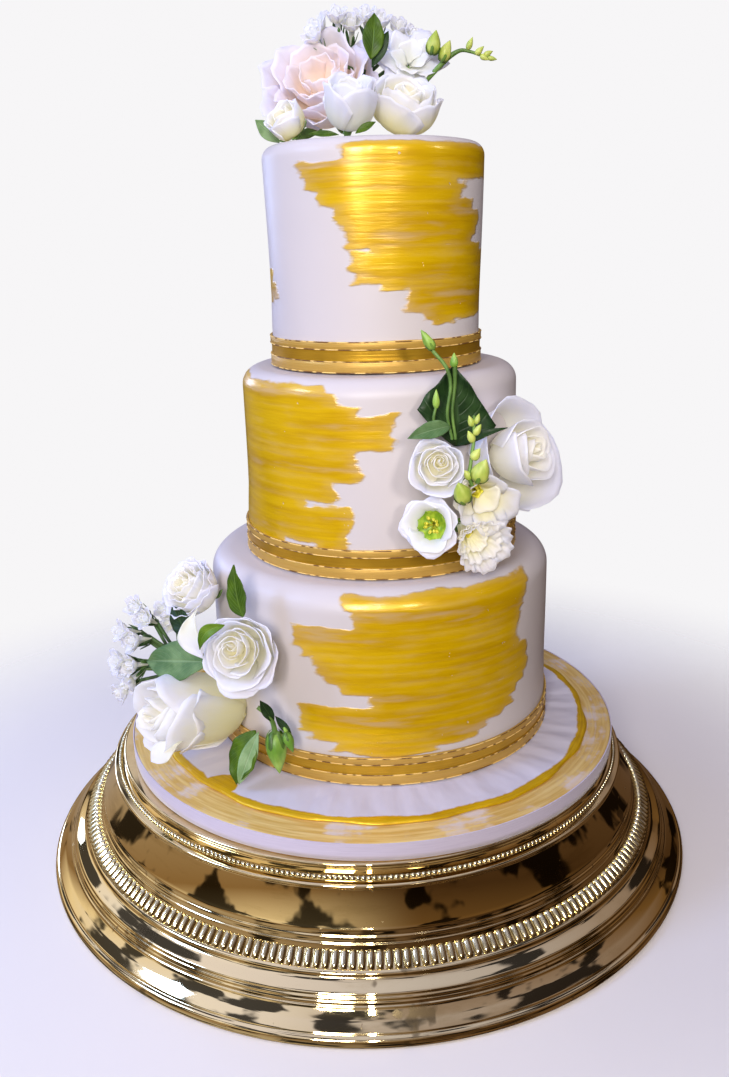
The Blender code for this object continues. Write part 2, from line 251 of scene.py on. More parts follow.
# %% Building meshes
class Builder:
    """Gathers grids of points, in millimetres, into one mesh."""

    def __init__(self, extra="tint"):
        self.extra = extra
        self.points = []
        self.uvs = []
        self.numbers = []
        self.faces = []
        self.slots = []
        self.count = 0

    def grid(self, points, uv=None, number=0.0, slot=0, around=False):
        """Adds rows x columns points. around closes each row on itself."""
        rows, columns = points.shape[:2]
        if uv is None:
            v, u = np.meshgrid(np.linspace(0, 1, rows), np.linspace(0, 1, columns), indexing="ij")
            uv = np.stack([u, v], -1)
        self.points.append(points.reshape(-1, 3))
        self.uvs.append(uv.reshape(-1, 2))
        self.numbers.append(np.broadcast_to(number, (rows, columns)).reshape(-1))
        last = columns if around else columns - 1
        for i in range(rows - 1):
            for j in range(last):
                k = (j + 1) % columns
                a, b = self.count + i * columns, self.count + (i + 1) * columns
                self.faces.append((a + j, a + k, b + k, b + j))
                self.slots.append(slot)
        self.count += rows * columns
        return self.count - rows * columns

    def close_ends(self, start, rows, columns, slot=0):
        """Closes the first and the last ring of a grid that goes around, each with one face."""
        last = start + (rows - 1) * columns
        self.faces.append(tuple(start + k for k in reversed(range(columns))))
        self.faces.append(tuple(last + k for k in range(columns)))
        self.slots += [slot, slot]

    def finish(self, name, materials, node_names, slot_name, smooth_angle):
        """Makes the mesh and its object. Edges sharper than the angle, in degrees, stay sharp."""
        points = np.concatenate(self.points) * MM
        mesh = bpy.data.meshes.new(name)
        mesh.from_pydata(points.tolist(), [], self.faces)
        for item in materials:
            mesh.materials.append(item.material)
        mesh.polygons.foreach_set("material_index", self.slots)
        layer = mesh.uv_layers.new(name="surface")
        corners = np.empty(len(mesh.loops), dtype=np.int32)
        mesh.loops.foreach_get("vertex_index", corners)
        layer.uv.foreach_set("vector", np.concatenate(self.uvs)[corners].ravel().astype(np.float32))
        numbers = mesh.attributes.new(self.extra, "FLOAT", "POINT")
        numbers.data.foreach_set("value", np.concatenate(self.numbers).astype(np.float32))
        mesh.shade_smooth()
        mesh.set_sharp_from_angle(angle=math.radians(smooth_angle))
        mesh.update()
        return present(add_object(name, mesh), node_names, slot_name)


def turn(builder, section, centre=(0.0, 0.0), segments=192, shape=None, closed=False, number=None):
    """Turns a half section about the upright axis through centre.

    shape bends the turned points, and number gives each point its extra number.
    A closed section runs back into itself, and an open one gets a face at each end.
    """
    section = np.asarray(section, float)
    angle = np.linspace(-math.pi, math.pi, segments, endpoint=False)
    radius = np.repeat(section[:, :1], segments, 1)
    height = np.repeat(section[:, 1:2], segments, 1)
    if shape:
        radius, height = shape(radius, height, angle[None, :])
    x = centre[0] + radius * np.sin(angle)
    y = centre[1] - radius * np.cos(angle)
    points = np.stack([x, y, height], -1)
    along = np.concatenate([[0.0], np.cumsum(np.hypot(*np.diff(section, axis=0).T))])
    uv = np.stack(np.broadcast_arrays(np.degrees(angle)[None, :], along[:, None]), -1)
    if closed:
        points = np.concatenate([points, points[:1]])
        uv = np.concatenate([uv, uv[:1]])
    values = number(radius, height, angle[None, :]) if number else 0.0
    start = builder.grid(points, uv, values, around=True)
    if not closed:
        builder.close_ends(start, len(section), segments)


def rounded(section, radius, steps=4):
    """Rounds each inner corner of an open section, with an arc that fits beside short edges."""
    section = [np.asarray(p, float) for p in section]
    made = [section[0]]
    for before, corner, after in zip(section, section[1:], section[2:]):
        back, on = before - corner, after - corner
        reach = min(radius, 0.45 * np.hypot(*back), 0.45 * np.hypot(*on))
        start = corner + back / np.hypot(*back) * reach
        end = corner + on / np.hypot(*on) * reach
        for t in np.linspace(0.0, 1.0, steps):
            made.append((1 - t) ** 2 * start + 2 * t * (1 - t) * corner + t * t * end)
    made.append(section[-1])
    return np.array(made)


WELD_DISTANCE = 1e-7


def weld(made):
    """Merges points that meet, so that a closed ring's seam is closed."""
    bm = bmesh.new()
    bm.from_mesh(made.data)
    bmesh.ops.remove_doubles(bm, verts=bm.verts, dist=WELD_DISTANCE)
    bmesh.ops.recalc_face_normals(bm, faces=bm.faces)
    bm.to_mesh(made.data)
    bm.free()
    return made


def thicken(made, thickness):
    """Gives a sheet its thickness, half of it to each side."""
    shell = made.modifiers.new("thickness", "SOLIDIFY")
    shell.thickness = thickness * MM
    shell.offset = 0.0
    return made


print("Mesh helpers are ready")

# %% [markdown]
# ## The stand: mirror-bright gold metal
# The real stand is spun: a disc of metal is pressed over a turning form, which gives its steps and grooves.
# The same thing in 3-D is a half section turned about the axis, with each corner rounded a little.
# The finish is almost a mirror. Soft noises keep it from looking like a perfect computed surface:
# one bends the reflections slightly, as thin spun metal does, and others dull it in smears and specks.
# Soft dark blots are painted reflections: they darken the colour where the mirror would show dark things
# round it.

# %% The gold metal
def make_gold_metal():
    finish = Finish("mirror gold", base_color=(0.84, 0.68, 0.36), metallic=1.0, roughness=0.08)
    place = finish.place()
    smears = finish.noise(finish.place((1.0, 1.0, 5.0)), 16.0, 5.0, 0.65)
    spots = finish.noise(place, 140.0, 2.0)
    dark_reflection_noise = finish.noise(place, 17.0, 4.0, 0.62)
    marks = smears.step(0.48, 0.72)
    specks = spots.step(0.70, 0.76)
    # Painted reflections: dark blots in the colour, where the mirror would show dark things round the stand
    painted_dark_reflections = dark_reflection_noise.step(0.635, 0.665)
    worn = finish.mix(marks * 0.5, (0.84, 0.68, 0.36), (0.58, 0.43, 0.18))
    worn = finish.mix(painted_dark_reflections * 0.6, worn, (0.07, 0.035, 0.012))
    finish.drive("Base Color", finish.mix(specks * 0.5, worn, (0.20, 0.12, 0.05)))
    finish.drive("Roughness", 0.035 + marks * 0.07 + specks * 0.25 + painted_dark_reflections * 0.12)
    finish.bump(finish.noise(place, 8.0, 2.0, 0.4), 0.0012, 0.8)
    return finish


def make_bright_metal():
    """The ribs and beads: a paler gold than the body, so that their highlights show pale cream instead of
    orange.
    """
    finish = Finish("bright gold", base_color=(0.80, 0.70, 0.44), metallic=1.0, roughness=0.16)
    spots = finish.noise(finish.place(), 120.0, 2.0)
    finish.drive("Base Color", finish.mix(spots.step(0.35, 0.65), (0.66, 0.56, 0.31), (0.82, 0.74, 0.47)))
    return finish


gold_metal = make_gold_metal()
bright_metal = make_bright_metal()

# %% The stand's turned body
STAND_SEGMENTS = 256
STAND_CORNER = 0.9
POLE = 2.0
STAND_SECTION = (
    (0.0, 0.0), (236.3, 0.0), (237.5, 1.4), (237.5, 4.6), (236.2, 6.4), (234.4, 7.0), (234.0, 8.0),
    (229.0, 12.0), (224.9, 16.2), (224.4, 17.4), (223.6, 17.8), (223.4, 19.2), (222.6, 20.0),
    (222.2, 21.2), (221.2, 22.0), (220.8, 23.2), (219.2, 24.2), (214.6, 26.6), (213.0, 28.0),
    (212.6, 30.0), (210.6, 31.0), (210.0, 30.6), (202.0, 37.0), (201.7, 38.0), (201.2, 40.6),
    (200.3, 41.2), (200.2, 43.4), (199.9, 44.6), (199.0, 45.4), (198.8, 48.2), (197.9, 49.8),
    (188.9, 69.2), (189.4, 70.2), (189.3, 71.3), (188.4, 72.0), (181.4, 72.0), (180.7, 73.2),
    (180.6, 77.2), (181.6, 78.6), (181.9, 80.2), (181.2, 81.2), (180.2, 81.4), (0.0, 81.4),
)


def make_stand_body():
    builder = Builder()
    section = rounded(STAND_SECTION, STAND_CORNER, 3)
    section[[0, -1], 0] = POLE
    turn(builder, section, segments=STAND_SEGMENTS)
    made = builder.finish("stand_turned", [gold_metal], ["stand_body"], "gold_metal", 35.0)
    return weld(made)


stand_body = make_stand_body()
print("Stand body:", len(stand_body.data.polygons), "faces")

# %% [markdown]
# ## Ribs and beads by rule
# The stand carries about 250 slanting ribs and 356 beads, far too many to place by hand.
# Geometry Nodes put a small shape on each point of a circle, turn it outwards, and make it real at the end.
# The ring's radius, height and count are inputs of the tree.
# So one tree serves both rings, and the threads of the ribbons too.

# %% A ring of repeated shapes
RING_INPUTS = {
    "Count": "NodeSocketInt", "Radius": "NodeSocketFloat", "Height": "NodeSocketFloat",
    "Size": "NodeSocketVector", "Tilt": "NodeSocketFloat", "Slant": "NodeSocketFloat",
    "Blunt": "NodeSocketFloat", "Finish": "NodeSocketMaterial",
}


def make_ring_tree(name):
    """Sets a stretched ball on each point of a circle, facing outwards. Blunt fills out its ends."""
    tree = bpy.data.node_groups.new(name, "GeometryNodeTree")
    ids = {}
    for label, kind in RING_INPUTS.items():
        socket = tree.interface.new_socket(name=label, in_out="INPUT", socket_type=kind)
        ids[label] = socket.identifier
    tree.interface.new_socket(name="Geometry", in_out="OUTPUT", socket_type="NodeSocketGeometry")
    add = node_adder(tree)
    source = add("NodeGroupInput").outputs
    circle = add("GeometryNodeMeshCircle", None, {"Vertices": source["Count"], "Radius": source["Radius"]})
    ball = add("GeometryNodeMeshUVSphere", None, {"Segments": 8, "Rings": 6, "Radius": 1.0})
    here = add("GeometryNodeInputPosition").outputs[0]
    place = add("ShaderNodeSeparateXYZ", None, {0: here})
    fourth = add("ShaderNodeMath", {"operation": "POWER"}, {0: place.outputs[2], 1: 4.0})
    wider = add("ShaderNodeMath", {"operation": "MULTIPLY_ADD"},
                {0: fourth.outputs[0], 1: source["Blunt"], 2: 1.0})
    stretch = add("ShaderNodeCombineXYZ", None, {0: wider.outputs[0], 1: wider.outputs[0], 2: 1.0})
    blunted = add("ShaderNodeVectorMath", {"operation": "MULTIPLY"}, {0: here, 1: stretch.outputs[0]})
    shaped = add("GeometryNodeSetPosition", None,
                 {"Geometry": ball.outputs["Mesh"], "Position": blunted.outputs[0]})
    angle = add("ShaderNodeMath", {"operation": "ARCTAN2"}, {0: place.outputs[1], 1: place.outputs[0]})
    facing = add("ShaderNodeMath", {"operation": "ADD"}, {0: angle.outputs[0], 1: 0.5 * math.pi})
    turned = add("ShaderNodeCombineXYZ", None, {0: source["Tilt"], 1: source["Slant"], 2: facing.outputs[0]})
    copies = add("GeometryNodeInstanceOnPoints", None,
                 {"Points": circle.outputs["Mesh"], "Instance": shaped.outputs["Geometry"],
                  "Rotation": turned.outputs[0], "Scale": source["Size"]})
    lift = add("ShaderNodeCombineXYZ", None, {2: source["Height"]})
    raised = add("GeometryNodeTransform", None,
                 {"Geometry": copies.outputs["Instances"], "Translation": lift.outputs[0]})
    real = add("GeometryNodeRealizeInstances", None, {"Geometry": raised.outputs[0]})
    smooth = add("GeometryNodeSetShadeSmooth", None, {"Geometry": real.outputs[0]})
    painted = add("GeometryNodeSetMaterial", None,
                  {"Geometry": smooth.outputs[0], "Material": source["Finish"]})
    out = add("NodeGroupOutput")
    tree.links.new(painted.outputs[0], out.inputs[0])
    return tree, ids


ring_tree, ring_ids = make_ring_tree("ring of balls")


def grow(name, values):
    """Runs the ring tree with some values and returns its result as a plain mesh object."""
    holder = add_object(name + " seed", bpy.data.meshes.new(name + " seed"))
    modifier = holder.modifiers.new("grow", "NODES")
    modifier.node_group = ring_tree
    for key, value in values.items():
        modifier[ring_ids[key]] = value
    graph = bpy.context.evaluated_depsgraph_get()
    mesh = bpy.data.meshes.new_from_object(holder.evaluated_get(graph), depsgraph=graph)
    mesh.name = name
    bpy.data.objects.remove(holder, do_unlink=True)
    return add_object(name, mesh)


# %% The ribs and the beads
RIB_COUNT = 248
RIB_RADIUS = 207.0
RIB_HEIGHT = 34.9
RIB_SIZE = (2.52, 3.0, 5.8)
RIB_BLUNT = 1.3
RIB_TILT = -52.0
BEAD_COUNT = 356
BEAD_RING_RADIUS = 184.6
BEAD_HEIGHT = 74.0
BEAD_SIZE = 1.72

ribs = grow("stand_ribs", {
    "Count": RIB_COUNT, "Radius": RIB_RADIUS * MM, "Height": RIB_HEIGHT * MM,
    "Size": tuple(s * MM for s in RIB_SIZE), "Tilt": math.radians(RIB_TILT), "Blunt": RIB_BLUNT,
    "Finish": bright_metal.material})
# The rings are left out of mirror reflections, because in each other they would show as bright specks
ribs.visible_glossy = False
present(ribs, ["stand_rib_band"], "gold_metal")

beads = grow("stand_beads", {
    "Count": BEAD_COUNT, "Radius": BEAD_RING_RADIUS * MM, "Height": BEAD_HEIGHT * MM,
    "Size": (BEAD_SIZE * MM,) * 3, "Finish": bright_metal.material})
beads.visible_glossy = False
present(beads, ["stand_bead_ring"], "gold_metal")
print("Ribs:", len(ribs.data.polygons), "faces; beads:", len(beads.data.polygons), "faces")

# %% [markdown]
# ## The board: a gold wash, a satin ribbon and an iced disc
# A cake board is thick card under icing, with a ribbon glued round its edge.
# Its top has a thin, uneven wash of gold paint, brushed round, with bare patches.
# On it lies a smaller iced disc with a gold painted, slightly wavy edge and soft creases in its icing.
# The finishes follow the distance and angle from the centre, which they work out from object coordinates.

# %% Icing colours
ICING = (0.595, 0.555, 0.570)
PAINT_DEEP = (0.57, 0.325, 0.0)
PAINT_BRIGHT = (0.74, 0.47, 0.0)
WASH_PALE = (0.70, 0.52, 0.20)
BOARD_CENTRE = (4.4, -1.5)
BOARD_BASE = 81.7
BOARD_TOP = 93.3
BOARD_RADIUS = 177.0
DISC_CENTRE = (7.0, -4.0)
DISC_RADIUS = 156.5
DISC_TOP = 96.0
DISC_PAINT_EDGE = (150.5, 152.0)
DAUB = (-104.0, -111.0)
DAUB_EDGE = (11.5, 13.0)
RAGGED_EDGE = 9.0


def around(finish, centre):
    """Distance from an upright axis in millimetres, and the angle round it in radians."""
    x, y, _ = finish.parts(finish.place(centre=(centre[0] * MM, centre[1] * MM, 0.0)))
    distance = (x * x + y * y) ** 0.5 / MM
    angle = x.math("ARCTAN2", x, -1.0 * y)
    return distance, angle


def polar_noise(finish, distance, angle, across, along, scale, detail=4.0):
    """Noise that is stretched round the axis, as brush marks or creases are."""
    turned = finish.node("ShaderNodeCombineXYZ", {}, (distance * across, angle * along, 0.0))
    return finish.noise(turned, scale, detail)


# %% The finishes of the boards
def make_gold_wash():
    finish = Finish("gold wash on icing", base_color=WASH_PALE, roughness=0.45)
    distance, angle = around(finish, BOARD_CENTRE)
    brush = polar_noise(finish, distance, angle, 0.35, 3.0, 1.0)
    patches = finish.noise(finish.place(), 30.0, 4.0, 0.6)
    cover = (brush * 0.4 + patches * 0.95).step(0.50, 0.66)
    cover = cover.math("MAXIMUM", cover, distance.step(172.0, 176.5) * 0.4)
    gold = finish.mix(brush.step(0.35, 0.7), (0.66, 0.42, 0.10), (0.84, 0.64, 0.26))
    finish.drive("Base Color", finish.mix(0.25 + cover * 0.75, (0.66, 0.60, 0.62), gold))
    finish.drive("Metallic", cover * 0.25)
    finish.drive("Roughness", 0.55 - cover * 0.12)
    finish.bump(brush, 0.0006, 0.6)
    return finish


def make_disc_icing():
    finish = Finish("iced disc", base_color=ICING, roughness=0.5)
    distance, angle = around(finish, DISC_CENTRE)
    brush = polar_noise(finish, distance, angle, 0.9, 3.0, 1.0)
    ragged = finish.noise(finish.place(), 34.0, 4.0, 0.6)
    edge = distance + (ragged - 0.5) * RAGGED_EDGE
    paint = edge.step(*DISC_PAINT_EDGE)
    x, y, _ = finish.parts(finish.place(centre=(DISC_CENTRE[0] * MM, DISC_CENTRE[1] * MM, 0.0)))
    from_daub = ((x - DAUB[0] * MM) ** 2.0 + (y - DAUB[1] * MM) ** 2.0) ** 0.5 / MM
    daub = 1.0 - (from_daub + (ragged - 0.5) * RAGGED_EDGE).step(*DAUB_EDGE)
    paint = paint.math("MAXIMUM", paint, daub)
    creases = polar_noise(finish, distance, angle, 0.018, 5.5, 1.0, 2.0)
    soft = finish.noise(finish.place(), 18.0, 3.0)
    gold = finish.mix(brush.step(0.3, 0.7), PAINT_DEEP, PAINT_BRIGHT)
    icing = finish.mix(soft, (0.60, 0.58, 0.66), (0.68, 0.66, 0.75))
    finish.drive("Base Color", finish.mix(paint, icing, gold))
    finish.drive("Metallic", paint * 0.35)
    finish.drive("Roughness", 0.5 - paint * 0.12)
    finish.bump(creases * 0.8 + brush * paint * 0.1, 0.004, 0.8)
    return finish


def make_board_satin():
    finish = Finish("board ribbon", base_color=(0.60, 0.55, 0.70), roughness=0.38, sheen_weight=0.3)
    threads = finish.noise(finish.place((1.0, 1.0, 40.0)), 60.0, 3.0)
    finish.drive("Base Color", finish.mix(threads, (0.52, 0.47, 0.62), (0.70, 0.65, 0.80)))
    finish.bump(threads, 0.0002, 0.5)
    return finish


gold_wash = make_gold_wash()
disc_icing = make_disc_icing()
board_satin = make_board_satin()

# %% The board, its ribbon and the disc
BOARD_BEVEL = 0.8
GAP = 0.3
DISC_SEGMENTS = 256


def make_drum():
    drum = Builder()
    corners = ((POLE, BOARD_BASE), (BOARD_RADIUS, BOARD_BASE), (BOARD_RADIUS, BOARD_TOP), (POLE, BOARD_TOP))
    turn(drum, rounded(corners, BOARD_BEVEL), BOARD_CENTRE)
    weld(drum.finish("board_iced_drum", [gold_wash], ["board_drum"], "gold_wash", 40.0))


def make_board_ribbon():
    ribbon = Builder()
    inner, outer = BOARD_RADIUS + GAP, BOARD_RADIUS + 0.9
    low, high = BOARD_BASE + 0.2, BOARD_TOP + 0.1
    outline = ((outer, low), (outer + 0.1, BOARD_BASE + 4.0), (outer + 0.1, BOARD_TOP - 4.0),
               (outer, high), (inner, high), (inner, low))
    turn(ribbon, outline, BOARD_CENTRE, closed=True)
    weld(ribbon.finish("board_satin_ribbon", [board_satin], ["board_ribbon"], "board_ribbon", 40.0))


def make_disc():
    disc = Builder()
    low = BOARD_TOP + GAP
    section = [(POLE, low), (DISC_RADIUS - 0.6, low), (DISC_RADIUS, low + 0.8),
               (DISC_RADIUS - 0.2, DISC_TOP - 0.9), (DISC_RADIUS - 1.4, DISC_TOP)]
    section += [(radius, DISC_TOP) for radius in np.linspace(DISC_RADIUS - 6.0, POLE, 24)]

    def wavy(radius, height, angle):
        wave = 0.6 * np.sin(11.0 * angle + 0.7) + 0.4 * np.sin(23.0 * angle + 2.0)
        outer = np.clip((radius - 140.0) / 15.0, 0.0, 1.0)
        top = np.clip((height - low - 1.0) / 1.4, 0.0, 1.0)
        pleat = np.sin(41.0 * angle + 1.5 * np.sin(5.0 * angle)) * np.exp(-((radius - 138.0) / 14.0) ** 2)
        return radius + 1.4 * wave * outer, height + 0.35 * pleat * top - 0.2 * top

    turn(disc, section, DISC_CENTRE, DISC_SEGMENTS, wavy)
    weld(disc.finish("board_disc_iced", [disc_icing], ["board_iced_disc"], "fondant", 50.0))


make_drum()
make_board_ribbon()
make_disc()
print("Boards made")

# %% [markdown]
# ## Iced tiers with brushed gold paint
# Rolled icing drapes softly, so the top edge is round and the wall is never quite true.
# The gold was brushed on in level strokes. Each stroke is four numbers in the lists below:
# its height on the tier, half its width, and the two angles that it runs between, seen from above.
# The mesh stores how far inside the nearest stroke each point lies, in millimetres, and the
# finish frays that border with long thin noise. The border stays sharp though the mesh is fairly coarse.

# %% Strokes of gold paint
# Each stroke: height above the tier's base, half width, start angle and end angle (degrees, 0 in front)
STROKES = {
    "top": (
        (127.0, 5.6, -16, 96), (118.5, 3.6, -40, 84), (112.0, 4.0, -39, 46), (104.0, 4.6, -28, 49),
        (97.0, 4.0, -19, 60), (88.0, 6.0, -16, 66), (79.5, 4.4, -15, 61), (73.0, 3.2, -4, 76),
        (66.5, 4.6, -12, 92), (59.5, 4.4, -11, 98), (53.5, 2.6, 3, 104), (48.0, 4.2, 13, 108),
        (41.0, 4.2, 12, 96), (35.5, 3.0, 25, 90), (31.5, 1.8, 29, 44), (57.0, 4.0, -118, -70),
        (50.0, 4.0, -124, -63), (45.0, 2.8, -112, -72),
    ),
    "middle": (
        (118.0, 3.2, -96, -22), (111.5, 4.2, -124, -18), (105.0, 3.8, -130, -7), (99.5, 4.0, -136, 5),
        (93.0, 4.0, -128, 6), (86.5, 3.8, -134, 4), (80.5, 3.4, -126, -8), (73.0, 5.0, -120, -8.5),
        (66.5, 2.8, -118, -9), (60.0, 4.0, -124, -19), (54.0, 3.2, -122, -19.5), (47.0, 4.2, -112, -30),
        (41.0, 4.2, -110, -13), (34.0, 4.0, -114, -12), (27.5, 3.8, -116, -12.5), (22.0, 2.8, -27, -13),
        (20.0, 4.0, -108, -42),
    ),
    "bottom": (
        (123.0, 3.4, -12, 55), (116.5, 4.0, -10, 54), (109.5, 4.0, -10, 52), (103.5, 3.2, -29, 50),
        (98.0, 3.6, -28, 50), (92.0, 3.6, -25, 49), (86.0, 3.6, -22, 48.5), (80.0, 3.6, -20, 49),
        (73.5, 3.6, -18.5, 54), (67.0, 3.6, -15, 54), (61.5, 3.2, -5, 53), (55.5, 3.6, -5, 51),
        (49.0, 3.6, -27.5, 49), (43.5, 4.0, -28, 46), (38.0, 3.6, -28, 41), (33.0, 3.2, -24, 35),
        (28.0, 3.0, -15, 31), (24.0, 2.4, -10, 17),
    ),
}
END_SOFTNESS = 0.35
STROKE_OVERLAP = 1.4
FAR_OUTSIDE = -12.0
DEEP_INSIDE = 6.0


def stroke_depth(strokes, radius, base):
    """Returns a function that says how many millimetres inside the paint each point lies."""
    def depth(point_radius, height, angle):
        level = height - base
        degrees = np.degrees(angle)
        deepest = np.full(level.shape, FAR_OUTSIDE)
        for middle, half, start, end in strokes:
            across = half + STROKE_OVERLAP - np.abs(level - middle)
            ends = np.minimum(degrees - start, end - degrees) * math.radians(1.0) * radius * END_SOFTNESS
            deepest = np.maximum(deepest, np.minimum(across, ends))
        return np.clip(deepest, FAR_OUTSIDE, DEEP_INSIDE)

    return depth


# %% The icing and its paint
def make_fondant():
    finish = Finish("iced tier", base_color=ICING, roughness=0.42, specular_ior_level=0.4,
                    coat_roughness=0.15)
    depth = finish.attribute("paint")
    place = finish.place()
    hairs = finish.noise(finish.place((1.0, 1.0, 16.0)), 24.0, 4.0, 0.6)
    daubs = finish.noise(finish.place((1.0, 1.0, 1.9)), 42.0, 3.0, 0.5)
    streaks = finish.noise(finish.place((1.0, 1.0, 7.0)), 13.0, 3.0, 0.55)
    flecks = finish.noise(place, 230.0, 2.0)
    thickness = depth + (hairs - 0.5) * 1.8 + (daubs - 0.5) * 8.0
    cover = thickness.step(-0.5, 0.8)
    thin = (thickness - 0.2).step(0.0, 4.0)
    bare = (flecks + daubs * 0.35).step(0.93, 0.97)
    worn = 1.0 - streaks.step(0.56, 0.72) * 0.25
    cover = cover * (1.0 - bare * 0.5) * (0.90 + 0.10 * thin) * worn
    tone = (hairs * 0.3 + (1.0 - streaks) * 0.7).step(0.34, 0.66)
    gold = finish.mix(tone, PAINT_DEEP, PAINT_BRIGHT)
    cloud = finish.noise(place, 14.0, 3.0)
    icing = finish.mix(cloud, tuple(0.96 * c for c in ICING), tuple(1.04 * c for c in ICING))
    finish.drive("Base Color", finish.mix(cover, icing, gold))
    finish.drive("Metallic", cover * 0.22)
    finish.drive("Coat Weight", cover * 0.34)
    finish.drive("Roughness", 0.42 - cover * 0.15 + hairs * cover * 0.08)
    relief = cover * (0.5 + hairs * 0.32 + daubs * 0.25) + cloud * 0.25
    finish.bump(relief, 0.0009, 0.7)
    return finish


fondant = make_fondant()

# %% The tiers
TIERS = {
    "bottom": {"centre": (12.0, 2.0), "base": 96.3, "top": 227.2, "low": 121.6, "high": 120.3, "edge": 15.0},
    "middle": {"centre": (14.0, 0.5), "base": 227.5, "top": 353.2, "low": 94.2, "high": 93.4, "edge": 12.0},
    "top": {"centre": (12.5, 0.5), "base": 353.5, "top": 491.0, "low": 69.6, "high": 71.6, "edge": 8.5},
}
RIBBON_HEIGHT = 19.4
WALL_STEP = 2.0
TIER_SEGMENTS = 300


def tier_section(tier):
    """Half section of one tier, with close rows up the wall so that the paint's border is well placed."""
    base, top, low, high, edge = (tier[k] for k in ("base", "top", "low", "high", "edge"))
    section = [(POLE, base), (low - 2.0, base), (low - 0.4, base + 0.6)]
    bottom = base + 1.6
    straight = top - edge
    upright = base + RIBBON_HEIGHT + 4.0
    for height in np.linspace(bottom, straight, int((straight - bottom) / WALL_STEP)):
        share = np.clip((height - upright) / (straight - upright), 0.0, 1.0)
        section.append((low + (high - low) * share, height))
    for degrees in np.linspace(8.0, 90.0, 12):
        bend = math.radians(degrees)
        section.append((high - edge + edge * math.cos(bend), top - edge + edge * math.sin(bend)))
    inner = high - edge
    section += [(radius, top) for radius in np.linspace(inner - 3.0, POLE, 14)]
    return np.array(section)


def make_tier(name, tier):
    base, top = tier["base"], tier["top"]

    def uneven(radius, height, angle):
        level = (height - base) / (top - base)
        free = np.clip((height - base - 24.0) / 20.0, 0.0, 1.0)
        wall = np.clip(radius / tier["high"] * 4.0 - 3.0, 0.0, 1.0)
        swell = 0.45 * np.sin(3.0 * angle + 2.0 + 2.0 * level) + 0.30 * np.sin(7.0 * angle + 5.0 * level)
        sag = 0.5 * np.sin(2.0 * angle + 1.0) + 0.3 * np.sin(5.0 * angle)
        rim = np.clip(level * 8.0 - 7.0, 0.0, 1.0)
        sunk = (0.8 - 0.5 * sag) * rim * 0.4
        return radius + swell * free * wall - 0.35 * free * wall, height - sunk

    builder = Builder("paint")
    paint = stroke_depth(STROKES[name], tier["low"], base)
    turn(builder, tier_section(tier), tier["centre"], TIER_SEGMENTS, uneven, number=paint)
    return weld(builder.finish("tier_%s_iced" % name, [fondant], ["tier_" + name], "fondant", 70.0))


for name, tier in TIERS.items():
    piece = make_tier(name, tier)
    print("Tier", name, "-", len(piece.data.polygons), "faces")

# %% [markdown]
# ## Gold ribbons
# Each tier has a ribbon round its foot: a dark bronze satin band between two paler, thicker stripes.
# Gold threads run along the borders of the stripes. Their glints are painted into their colour as short light
# and dark dashes.
# The band is a turned section. The threads are short stitches that the ring tree lays one over the next.

# %% Ribbon finishes
def make_ribbon_stripe():
    finish = Finish("pale gold stripe", base_color=(0.70, 0.45, 0.12), metallic=0.35, roughness=0.42)
    weave = finish.noise(finish.place((1.0, 1.0, 60.0)), 24.0, 4.0, 0.6)
    broad = finish.noise(finish.place((1.0, 1.0, 0.3)), 22.0, 3.0)
    finish.drive("Base Color", finish.mix(weave * 0.5 + broad * 0.5, (0.42, 0.23, 0.030), (0.67, 0.43, 0.10)))
    finish.bump(weave, 0.0003, 0.6)
    return finish


def make_ribbon_centre():
    finish = Finish("bronze satin", base_color=(0.34, 0.16, 0.02), metallic=0.75, roughness=0.30)
    weave = finish.noise(finish.place((1.0, 1.0, 50.0)), 18.0, 4.0, 0.6)
    broad = finish.noise(finish.place((1.0, 1.0, 2.0)), 26.0, 3.0, 0.6)
    finish.drive("Base Color",
                 finish.mix(weave * 0.4 + broad * 0.6, (0.38, 0.18, 0.006), (0.84, 0.52, 0.045)))
    finish.drive("Roughness", 0.24 + broad * 0.2)
    finish.bump(weave * 0.5 + broad * 0.5, 0.0005, 0.5)
    return finish


def make_thread_gold():
    finish = Finish("thread with painted glints", base_color=(0.68, 0.45, 0.13), metallic=0.0, roughness=0.5)
    # Painted glints: light and dark dashes in the colour stand for the thread catching the light
    painted_glint_dashes = finish.noise(finish.place(), 150.0, 1.0)
    finish.drive("Base Color", finish.mix(painted_glint_dashes.step(0.42, 0.56), (0.16, 0.07, 0.012), (0.88, 0.62, 0.20)))
    return finish


ribbon_stripe = make_ribbon_stripe()
ribbon_centre = make_ribbon_centre()
thread_gold = make_thread_gold()

# %% The ribbons
LOWER_STRIPE = 7.3
UPPER_STRIPE = 5.0
STRIPE_THICKNESS = 1.3
CENTRE_THICKNESS = 0.7
RIBBON_SEGMENTS = 240
STITCHES_PER_MM = 0.34
STITCH_OVERLAP = 1.9
STITCH_SLANT = 0.04
THREAD_RADIUS = 0.34


